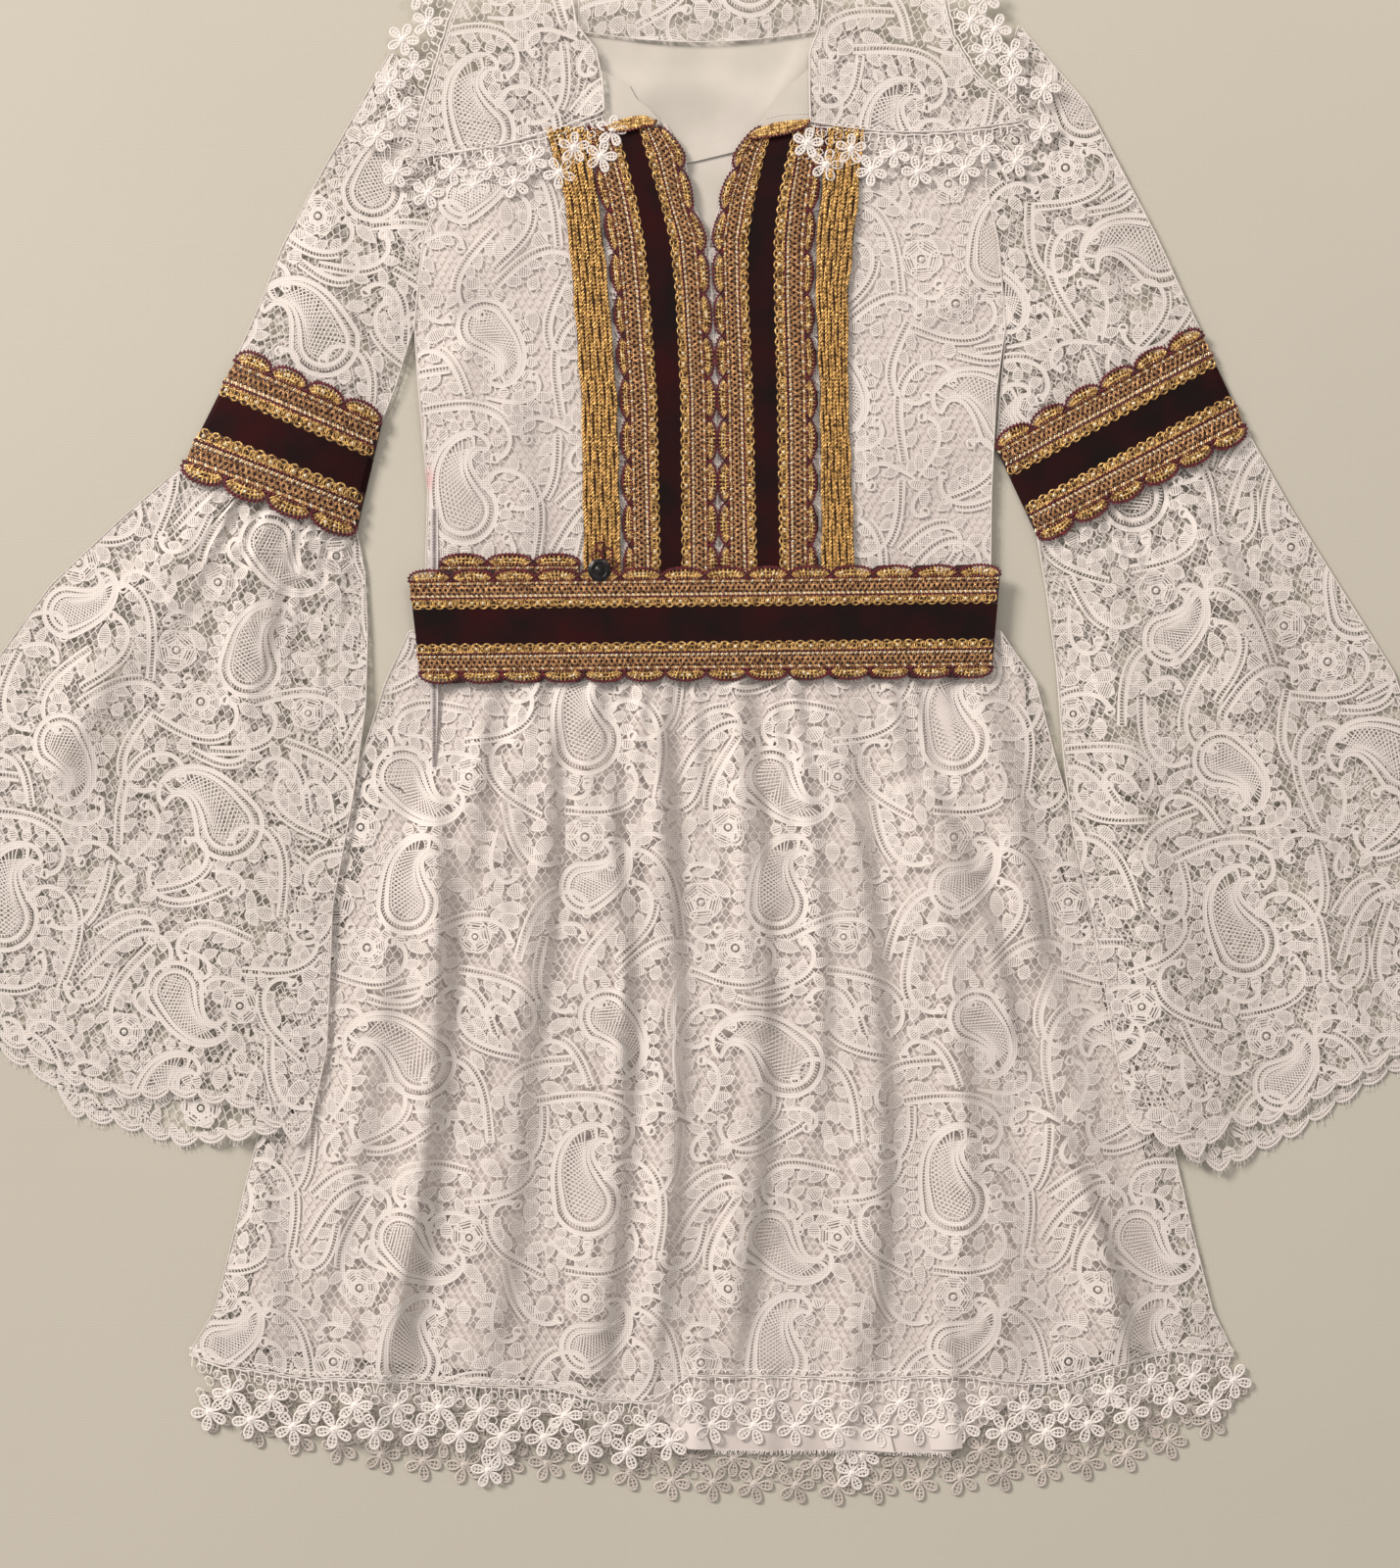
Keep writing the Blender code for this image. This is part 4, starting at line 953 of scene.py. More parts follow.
# Centre, size, angle and flip of each paisley; start, angle, length and curl of each long scroll
PAISLEYS = (
    ((52.0, 58.0), 64.0, 24.0, False), ((172.0, 34.0), 56.0, -150.0, True),
    ((184.0, 148.0), 66.0, 38.0, True), ((66.0, 178.0), 52.0, -128.0, False),
    ((52.0, 262.0), 48.0, -70.0, True), ((176.0, 252.0), 58.0, 12.0, False),
)
LONG_SCROLLS = (
    ((96.0, 20.0), 80.0, 92.0, 190.0), ((112.0, 30.0), 60.0, 84.0, -200.0),
    ((20.0, 120.0), 10.0, 90.0, -190.0), ((118.0, 120.0), 100.0, 96.0, -210.0),
    ((228.0, 96.0), 95.0, 88.0, 200.0), ((120.0, 210.0), -20.0, 80.0, 210.0),
    ((10.0, 214.0), 75.0, 80.0, -190.0), ((112.0, 230.0), 96.0, 90.0, 180.0),
    ((140.0, 96.0), 20.0, 70.0, 220.0), ((24.0, 10.0), 150.0, 76.0, -200.0),
)


@dataclass
class LaceLength:
    """One repeat of the lace: corded paisleys, scrolls, flowers and leaves in a hexagon net."""

    width: float = 240.0
    height: float = 300.0
    net_columns: int = 46
    net_rows: int = 66
    net_thread: float = 0.58
    tape: float = 3.1
    echo: float = 4.5
    rung_pitch: float = 1.25
    plain: bool = False
    relief: float = 0.72
    seed: int = 5
    work: Threadwork = field(init=False)

    def __post_init__(self) -> None:
        """Draw the repeat."""
        self.work = Threadwork(self.plain)
        self.chance = random.Random(self.seed)
        self.taken = np.zeros((int(self.height), int(self.width)), bool)
        self._place_large()
        self._fill_between()
        self._net()
        self.points, self.quads = self.work.merged()
        self.points[:, 2] *= self.relief

    def _cells(self, outline: np.ndarray) -> tuple[np.ndarray, np.ndarray]:
        """Cells of the repeat, wrapped round its edges, that an outline covers.

        Args:
            outline: Corners of the outline.

        Returns:
            Rows and columns of the cells.
        """
        low, high = np.floor(outline.min(0)).astype(int), np.ceil(outline.max(0)).astype(int)
        xs, ys = np.meshgrid(np.arange(low[0], high[0] + 1), np.arange(low[1], high[1] + 1))
        cells = np.stack([xs.ravel(), ys.ravel()], axis=1)
        cells = cells[inside(outline, cells + 0.5)]
        return cells[:, 1] % int(self.height), cells[:, 0] % int(self.width)

    def _mark(self, outline: np.ndarray) -> None:
        """Keep the net and later motifs out of an outline."""
        self.taken[self._cells(outline)] = True

    def _free(self, outline: np.ndarray, share: float) -> bool:
        """True if less than a share of an outline is taken yet."""
        cells = self._cells(outline)
        return len(cells[0]) > 0 and float(self.taken[cells].mean()) < share

    @staticmethod
    def _drop(size: float, share: float) -> tuple[np.ndarray, np.ndarray]:
        """The two sides of a paisley, from the middle of its round end to its hooked tip.

        Args:
            size: Length of its spine.
            share: Size of this ring in the whole, up to 1.

        Returns:
            The left and the right side, n x 2.
        """
        steps = 22
        spine = [np.zeros(2)]
        ahead = 90.0
        for i in range(steps):
            ahead -= HOOK * 2.0 * (i + 1) / (steps * (steps + 1)) * (0.6 + 0.8 * i / steps)
            spine.append(spine[-1] + size / steps * unit(ahead))
        spine = np.array(spine)
        t = np.linspace(0.0, 1.0, steps + 1)
        radius = DROP_RADIUS * size * share * np.sqrt(np.clip(1.0 - t, 0.0, 1.0)) * (1.0 - 0.45 * t)
        across = normals_of(spine)
        keep = t <= 0.55 + 0.45 * share
        cap = np.radians(np.linspace(90.0, 0.0, 6, endpoint=False))
        round_end = DROP_RADIUS * size * share * np.stack([np.cos(cap), -np.sin(cap)], axis=1)
        left = np.concatenate([round_end * [-1.0, 1.0], (spine + across * radius[:, None])[keep]])
        right = np.concatenate([round_end, (spine - across * radius[:, None])[keep]])
        return left, right

    def paisley(self, centre: Point, size: float, angle: float, flip: bool) -> None:
        """A paisley: petals round its back, tape rings, a ladder ring and a hatched heart.

        Args:
            centre: Middle of its round end.
            size: Length of its spine.
            angle: Turn of the whole.
            flip: True for the mirrored one.
        """
        def sides(share: float) -> list[np.ndarray]:
            return [turned(side, angle, centre, flip) for side in self._drop(size, share)]

        def ring(share: float) -> np.ndarray:
            left, right = sides(share)
            return np.concatenate([left, right[::-1]])

        whole = ring(1.0)
        self._mark(np.array(centre) + (whole - np.array(centre)) * 1.04)
        self.work.strip(spaced(whole, 3.4), 1.05 * self.tape, Section.TAPE, 0.2)
        for outer, inner, tape in PAISLEY_LADDERS:
            a, b = ring(outer), ring(inner)
            number = int(np.linalg.norm(np.diff(a, axis=0), axis=1).sum() / (1.68 * self.rung_pitch))
            self.work.rungs(evenly(a, number), evenly(b, number), 0.6)
            self.work.strip(spaced(b, 3.2), 0.8, Section.CORD, 0.3)
            if tape:
                self.work.strip(spaced(ring(tape), 3.2), 2.4, Section.TAPE, 0.2)
        heart_l, heart_r = sides(HEART_SHARE)
        number = int(30.0 / self.rung_pitch)
        first, second = evenly(heart_l, number), evenly(heart_r, number)
        slant, wide = 5, 0.68 * self.rung_pitch
        self.work.rungs(first[:-slant], second[slant:], wide, 0.05)
        self.work.rungs(first[slant:], second[:-slant], wide, 0.1)
        self._petal_fringe(whole, size)

    def _petal_fringe(self, whole: np.ndarray, size: float) -> None:
        """Small petals that stand out round the back of a paisley.

        Args:
            whole: Its outer ring.
            size: Length of its spine.
        """
        line = spaced(whole, 7.6)
        away = np.gradient(line, axis=0)
        length = 0.15 * size
        for place, way in list(zip(line, away))[1:-2]:
            out = np.degrees(np.arctan2(-way[0], way[1])) + 180.0
            self.petal(place + 1.2 * unit(out), length, 6.4, out, 0.35)

    def petal(self, start: Point, length: float, width: float, angle: float, share: float) -> None:
        """A hatched petal with a corded edge, if its place is free.

        Args:
            start: Its foot.
            length: Its length.
            width: Its greatest width.
            angle: The way that it points.
            share: Part of its place that may be taken already.
        """
        t = np.linspace(0.0, 1.0, 6)
        half = 0.5 * width * np.sin(math.pi * t ** 0.8) ** 0.75
        left = turned(np.stack([t * length, half], axis=1), angle, start)
        right = turned(np.stack([t * length, -half], axis=1), angle, start)
        whole = np.concatenate([left, right[-2:0:-1]])
        if not self._free(whole, share):
            return
        self._mark(whole)
        self.work.strip(whole, 0.95, Section.CORD, 0.28, closed=True)
        number = max(int(length / self.rung_pitch), 3)
        self.work.rungs(evenly(left, number + 2)[1:-1], evenly(right, number + 2)[1:-1],
                        0.74 * self.rung_pitch, 0.05)

    def scroll(self, start: Point, angle: float, length: float, curl: float, leaves: int,
               crowding: float) -> None:
        """A tape that rolls up at its end, with leaves along its back, if its place is free.

        Args:
            start: Its foot.
            angle: The way that it sets off.
            length: Its length.
            curl: Its turn in degrees; below 0 it turns clockwise.
            leaves: Number of leaves.
            crowding: Part of its place that may be taken already.
        """
        points = [np.array(start, float)]
        steps = max(int(length / 3.0), 10)
        ahead = angle
        for i in range(steps):
            ahead += curl * (2.6 * ((i + 1) / steps) ** 2.0) / steps
            points.append(points[-1] + length / steps * unit(ahead))
        line = np.array(points)
        across = normals_of(line)
        back = -1.0 if curl > 0 else 1.0
        fellow = (line + back * self.echo * across)[:max(int(0.72 * steps), 4)]
        band = np.concatenate([line - back * 2.0 * across, (fellow + back * 1.4 * across[:len(fellow)])[::-1]])
        if not self._free(band, crowding):
            return
        width = self.tape * np.interp(np.linspace(0.0, 1.0, len(line)), (0.0, 0.25, 0.85, 1.0), (0.6, 1.0, 1.0, 1.35))
        self.work.strip(line, width, Section.TAPE, 0.18)
        self.work.strip(ring_line(tuple(line[-1]), 2.9, 8), 1.7, Section.CORD, 0.45, closed=True)
        self._mark(ring_line(tuple(line[-1]), 3.6))
        for a, b, side in zip(line[:-1], line[1:], across):
            self._mark(np.array([a + 2.3 * side, b + 2.3 * side, b - 2.3 * side, a - 2.3 * side]))
        if length > 50.0:
            self.work.strip(fellow, 1.8, Section.CORD, 0.25)
            number = int(0.43 * length / self.rung_pitch)
            self.work.rungs(evenly(line[:len(fellow)], number), evenly(fellow, number), 0.6)
            self._mark(np.concatenate([line[:len(fellow)], (fellow + back * 1.2 * across[:len(fellow)])[::-1]]))
        for i in range(leaves):
            k = int(len(line) * (0.10 + 0.75 * i / leaves))
            way = math.degrees(math.atan2(*(line[k + 1] - line[k])[::-1]))
            self.petal(tuple(line[k]), 13.0 - 0.8 * i, 6.6, way - back * 46.0, 0.4)
            self.petal(tuple(line[k]), 12.0, 6.2, way + back * 58.0, 0.4)

    def flower(self, centre: Point, radius: float, petals: int, angle: float) -> None:
        """An open flower with hatched petals and a ring in its middle, if its place is free.

        Args:
            centre: Its middle.
            radius: Its size.
            petals: Number of petals.
            angle: Turn of the first petal.
        """
        if not self._free(ring_line(centre, radius), 0.08):
            return
        heart = 0.26 * radius
        for i in range(petals):
            way = angle + 360.0 * i / petals
            wide = 1.9 * radius * math.sin(math.pi / petals)
            self.petal(np.array(centre) + heart * unit(way), radius - heart, wide, way, 0.5)
        self.work.strip(ring_line(centre, heart), 1.3, Section.CORD, 0.6, closed=True)
        self.work.dome(centre, 0.5 * heart, 0.5, 6)
        self._mark(ring_line(centre, heart + 0.6))

    def _place_large(self) -> None:
        """Paisleys and their long scrolls, set out one by one over the repeat."""
        for centre, size, angle, flip in PAISLEYS:
            self.paisley(centre, size, angle, flip)
        for start, angle, length, curl in LONG_SCROLLS:
            self.scroll(start, angle, length, curl, 6, 0.3)

    def _fill_between(self) -> None:
        """Smaller scrolls, flowers and leaves in the places that are left."""
        def spot() -> Point:
            return (self.chance.uniform(0.0, self.width), self.chance.uniform(0.0, self.height))

        for _ in range(16):
            self.flower(spot(), self.chance.uniform(11.0, 15.0), self.chance.choice((5, 6, 7)),
                        self.chance.uniform(0.0, 90.0))
        for tries, shortest, longest, leaves, crowding in ((500, 48.0, 80.0, 5, 0.1), (260, 26.0, 42.0, 3, 0.06)):
            for _ in range(tries):
                turn = self.chance.choice((-1.0, 1.0))
                self.scroll(spot(), self.chance.uniform(0.0, 360.0), self.chance.uniform(shortest, longest),
                            turn * self.chance.uniform(120.0, 205.0), leaves, crowding)
        for _ in range(900):
            self.petal(spot(), self.chance.uniform(10.0, 19.0), self.chance.uniform(6.5, 10.0),
                       self.chance.uniform(0.0, 360.0), 0.1)

    def _net(self) -> None:
        """Hexagon net of uneven meshes, left out where a motif lies."""
        pitch_x, pitch_y = self.width / self.net_columns, self.height / self.net_rows
        cols, rows = np.meshgrid(np.arange(self.net_columns), np.arange(self.net_rows))
        cols, rows = cols.ravel(), rows.ravel()
        shape = (2, self.net_rows, self.net_columns, 2)
        jitter = np.random.default_rng(self.seed).uniform(-NET_JITTER, NET_JITTER, shape)

        def node(kind: int, c: np.ndarray, r: np.ndarray) -> np.ndarray:
            x = (c + 0.5 * (r % 2)) * pitch_x
            y = r * pitch_y + (kind - 0.5) * pitch_y / 3.0 * 1.1
            return np.stack([x, y], axis=1) + jitter[kind, r % self.net_rows, c % self.net_columns]

        foot, head = node(0, cols, rows), node(1, cols, rows)
        left = node(0, cols - 1 + rows % 2, rows + 1)
        right = node(0, cols + rows % 2, rows + 1)
        starts = np.concatenate([foot, head, head])
        ends = np.concatenate([head, left, right])
        middle = (0.5 * (starts + ends)).astype(int)
        free = ~self.taken[middle[:, 1] % int(self.height), middle[:, 0] % int(self.width)]
        self.work.rungs(starts[free], ends[free], self.net_thread, 0.0)

    def covering(self, outline: np.ndarray, angle: float, shift: Point) -> tuple[np.ndarray, np.ndarray]:
        """Lay repeats side by side under an outline and cut them to it.

        Args:
            outline: Corners of the panel.
            angle: Turn of the lace on the panel.
            shift: Where a repeat's corner lies.

        Returns:
            Points and quads of the cut lace.
        """
        turn = turning(angle)
        local = (outline - np.array(shift)) @ turn.T
        low = np.floor(local.min(0) / [self.width, self.height]).astype(int) - 1
        high = np.ceil(local.max(0) / [self.width, self.height]).astype(int) + 1
        points, quads, count, margin = [], [], 0, 20.0
        for i in range(low[0], high[0]):
            for j in range(low[1], high[1]):
                part = self.points.copy()
                part[:, :2] = (part[:, :2] + [i * self.width, j * self.height]) @ turn + np.array(shift)
                near = (part[:, :2] > outline.min(0) - margin) & (part[:, :2] < outline.max(0) + margin)
                if not near.all(1).any():
                    continue
                left_points, left_quads = cut(part, self.quads, outline)
                points.append(left_points)
                quads.append(left_quads + count)
                count += len(left_points)
        return np.concatenate(points), np.concatenate(quads)


# ---------------------------------------------------------------- making meshes

# How far below its solid's top a plain cloth lies, and a lace's threads at most
SHELL_DEPTH = 0.15
LACE_DEPTH = 0.45


@dataclass
class Workroom:
    """Makes finished pieces out of the frame's solids."""

    nodes: dict[str, bpy.types.Object]
    lace: LaceLength = field(default_factory=LaceLength)
    under_lace: LaceLength = field(
        default_factory=lambda: LaceLength(net_columns=40, net_rows=46, rung_pitch=1.9, plain=True))

    def piece(self, name: str, points: np.ndarray, faces: Sequence[Sequence[int]] | np.ndarray,
              finish: Finish, replaces: Sequence[str] = ()) -> bpy.types.Object:
        """Make one object and hand it to the frame.

        Args:
            name: Name of the piece.
            points: Its points in millimetres.
            faces: Its faces.
            finish: Its finish.
            replaces: CAD nodes that it stands for.

        Returns:
            The object.
        """
        mesh = bpy.data.meshes.new(name)
        mesh.from_pydata((points * MM).tolist(), [], faces.tolist() if isinstance(faces, np.ndarray) else faces)
        mesh.materials.append(material_of(finish))
        mesh.shade_smooth()
        made = bpy.data.objects.new(name, mesh)
        bpy.context.scene.collection.objects.link(made)
        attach(made, "root")
        if replaces:
            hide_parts(*replaces)
        LOG.info("%s: %d faces", name, len(mesh.polygons))
        return made

    def surface(self, node: str, folds: Sequence[Crease | Gathers] = ()) -> Surface:
        """The top of a CAD node."""
        return Surface(self.nodes[node], folds)

    def lace_panel(self, node: str, angle: float = 0.0, shift: Point = (0.0, 0.0),
                   folds: Sequence[Crease | Gathers] = (), edge: float = 0.8, under: bool = False) -> Surface:
        """Args:
            node: The solid that it stands for.
            angle: Turn of the lace.
            shift: Where a repeat's corner lies.
            folds: Its creases and gathers.
            edge: Width of the cord along its edge.
            under: True for a back that lies under a front of the same lace.

        Returns:
            The surface that it lies on.
        """
        surface = self.surface(node, folds)
        points, quads = (self.under_lace if under else self.lace).covering(surface.outline, angle, shift)
        border = Threadwork()
        if node in BELL_HEMS:
            eyelash_scallops(border, np.array(BELL_HEMS[node]))
        border.strip(spaced_loop(surface.outline, 4.0), edge, Section.CORD, 0.5, closed=True)
        more, more_quads = border.merged()
        quads = np.concatenate([quads, more_quads + len(points)])
        points = np.concatenate([points, more])
        points[:, 2] += surface.height(points) - LACE_DEPTH
        made = self.piece(node + "_lace", points, quads, LACE, [node])
        self.declare(made, surface.outline)
        return surface

    def declare(self, made: bpy.types.Object, outline: np.ndarray) -> None:
        """Work out the flat size and area of a laid sheet; nothing is done with them.

        Args:
            made: Not used.
            outline: Corners of its cut.
        """
        size = np.ptp(outline, axis=0) * MM
        x, y = outline[:, 0] * MM, outline[:, 1] * MM
        area = abs(0.5 * float(np.sum(x * np.roll(y, -1) - np.roll(x, -1) * y)))
        area = min(max(area, 0.301 * size[0] * size[1]), float(size[0] * size[1]))

    def shell(self, node: str, finish: Finish, folds: Sequence[Crease | Gathers], step: float) -> None:
        """A plain cloth laid on its solid as a thin shell.

        Args:
            node: The solid that it stands for.
            finish: Its finish.
            folds: Its creases.
            step: Size of its faces.
        """
        surface = self.surface(node, folds)
        made = self.laid(node + "_cloth", surface.outline, surface, finish, step, -SHELL_DEPTH, [node])
        self.declare(made, surface.outline)

    def laid(self, name: str, outline: np.ndarray, surface: Surface, finish: Finish, step: float = 3.0,
             lift: float = 0.0, replaces: Sequence[str] = ()) -> bpy.types.Object:
        """Lay a piece of plain cloth on a surface.

        Args:
            name: Name of the piece.
            outline: Corners of the piece.
            surface: What it lies on.
            finish: Its finish.
            step: Size of its faces.
            lift: Height above the surface.
            replaces: CAD nodes that it stands for.

        Returns:
            The piece.
        """
        edge = spaced_loop(outline, step)
        low, high = edge.min(0), edge.max(0)
        xs, ys = np.meshgrid(np.arange(low[0], high[0], step), np.arange(low[1], high[1], step))
        xs = xs + 0.5 * step * (np.arange(xs.shape[0]) % 2)[:, None]
        grid = np.stack([xs.ravel(), ys.ravel()], axis=1)
        grid = grid[inside(edge, grid)]
        gap = np.linalg.norm(grid - nearest_on(edge, grid), axis=1)
        flat = np.concatenate([edge, grid[gap > 0.35 * step]])
        number = len(edge)
        rim = [(i, (i + 1) % number) for i in range(number)]
        places, _, faces, *_ = delaunay_2d_cdt([Vector(p) for p in flat], rim, [list(range(number))], 1, 1e-4)
        points = np.array([(p[0], p[1], 0.0) for p in places])
        points[:, 2] = surface.height(points) + lift
        return self.piece(name, points, [list(f) for f in faces], finish, replaces)

    def threads(self, name: str, work: Threadwork, finish: Finish, surface: Surface, warp: Warp | None = None,
                replaces: Sequence[str] = (), lift: float = 0.0) -> bpy.types.Object:
        """Lay threadwork on a surface.

        Args:
            name: Name of the piece.
            work: The threadwork.
            finish: Its finish.
            surface: What it lies on.
            warp: Turns places of the threadwork into places in the plane.
            replaces: CAD nodes that it stands for.
            lift: Height above the surface.

        Returns:
            The piece.
        """
        points, quads = work.merged()
        if warp:
            points[:, :2] = warp(points[:, :2])
        points[:, 2] += surface.height(points) + lift
        return self.piece(name, points, quads, finish, replaces)


# ---------------------------------------------------------------- the daisy trim

# Depth at which the trim is drawn, and how far a corner softens its turn
TRIM_DEPTH = 45.0
CORNER_REACH = 22.0
# Depth, radius and base of the two daisies of a repeat, then its stitches and its small rings
WHOLE_DAISY = (33.0, 12.0, 0.0)
HALF_DROP_DAISY = (16.8, 11.4, 0.25)
STITCH_OFFSETS = (-11.2, -6.8, -2.3, 2.3, 6.8, 11.2)
TRIM_RINGS = ((-5.5, 6.5), (5.5, 6.5), (0.0, 12.5), (-6.0, 23.0), (6.0, 23.0), (13.5, 27.5))


@dataclass
class DaisyTrim:
    """Guipure trim with a row of whole daisies below a row of half-dropped ones."""

    node: str
    seam: Line
    depth: float = TRIM_DEPTH
    repeat: float = 27.0
    hang: Point | None = None
    corner: int = 0
    flip: float = 1.0
    seed: int = 3
    folds: Sequence[Crease] = ()
    finish: Finish = DAISY

    def daisy(self, work: Threadwork, s: float, t: float, size: float, angle: float, base: float) -> None:
        """One daisy: five round petals with threads across, and a padded middle.

        Args:
            work: The threadwork that it goes into.
            s: Place along the seam.
            t: Depth below the seam.
            size: Its radius.
            angle: Turn of its first petal.
            base: Height of its underside.
        """
        for i in range(5):
            way = angle + 72.0 * i
            u = np.linspace(0.0, 1.0, 12, endpoint=False)
            along = 0.5 * (1.0 - np.cos(2.0 * math.pi * u))
            side = np.sin(2.0 * math.pi * u) * (0.21 + 0.13 * along)
            reach = 0.22 + 0.78 * along
            petal = turned(np.stack([size * reach, 0.86 * size * side], axis=1), way, (s, t))
            work.strip(petal, 1.45, Section.CORD, 0.75, closed=True, base=base)
            work.rungs(petal[[2, 3, 4, 5]], petal[[10, 9, 8, 7]], 0.75, base + 0.1)
            middle, tip = np.array([[s, t]]), size * unit(way)
            work.rungs(middle + 0.2 * tip, middle + 0.9 * tip, 0.9, base + 0.15)
        work.dome((s, t), 0.27 * size, 0.9, 8, base + 0.2)

    def build(self, room: Workroom) -> None:
        """Lay the trim along its seam."""
        seam = np.array(self.seam, float)
        steps = np.diff(seam, axis=0)
        runs = steps[:, 0] if self.hang else np.linalg.norm(steps, axis=1)
        marks = np.concatenate([[0.0], np.cumsum(runs)])
        before = round(marks[self.corner] / self.repeat)
        repeats = before + round((marks[-1] - marks[self.corner]) / self.repeat)
        work, blooms = Threadwork(), Threadwork()
        chance = random.Random(self.seed)
        total = repeats * self.repeat
        stretch = np.concatenate([np.linspace(0.0, marks[self.corner], before + 1)[:-1],
                                  np.linspace(marks[self.corner], marks[-1], repeats - before + 1)])

        def warp(places: np.ndarray) -> np.ndarray:
            along = np.interp(places[:, 0], np.arange(repeats + 1) * self.repeat, stretch)
            if self.hang:
                down = np.broadcast_to(np.array(self.hang), (len(places), 2))
            else:
                way = at_runs(seam, marks, along + CORNER_REACH) - at_runs(seam, marks, along - CORNER_REACH)
                down = np.stack([way[:, 1], -way[:, 0]], axis=1)
                down = self.flip * down / np.linalg.norm(down, axis=1)[:, None]
            return at_runs(seam, marks, along) + down * (places[:, 1] * self.depth / TRIM_DEPTH)[:, None]

        scale = 0.45 + 0.55 * self.depth / TRIM_DEPTH
        for k in range(repeats):
            middle = (k + 0.5) * self.repeat
            for s, (t, size, base), angle in (
                (middle, WHOLE_DAISY, chance.uniform(-24.0, 24.0) - 90.0),
                (middle + 0.5 * self.repeat, HALF_DROP_DAISY, chance.uniform(0.0, 72.0)),
            ):
                place = warp(np.array([[s, t]]))[0]
                self.daisy(blooms, place[0], place[1], size * scale, angle, base)
            for offset in STITCH_OFFSETS:
                loop = ring_line((middle + offset, -2.2), 2.3, 10)[:6] * [1.0, -1.0] + [0.0, -4.4]
                work.strip(loop, 0.8, Section.CORD, 0.4, base=0.3)
                lean = chance.uniform(-2.4, 2.4)
                work.rungs(np.array([[middle + offset, 0.5]]), np.array([[middle + offset + lean, 8.0]]), 0.7, 0.2)
            for offset, depth in TRIM_RINGS:
                work.strip(ring_line((middle + offset, depth), 3.0, 6), 0.85, Section.CORD, 0.5, closed=True)
        line = np.linspace(0.0, total, repeats * 6)
        wave = 1.0 + 0.7 * np.sin(line * 0.9)
        work.strip(np.stack([line, wave], axis=1), 1.2, Section.CORD, 0.4)
        surface = room.surface(self.node, self.folds)
        heading, quads = work.merged()
        heading[:, :2] = warp(heading[:, :2])
        blooms.add(heading, quads)
        room.threads(self.node + "_daisies", blooms, self.finish, surface, None, [self.node], -0.5)


# ---------------------------------------------------------------- braids, cords and velvet

# Width at which a braid is drawn, and the depths of the two cords that edge its lattice
BRAID_WIDTH = 19.0
CORD_TRACKS = (0.9, 12.7)


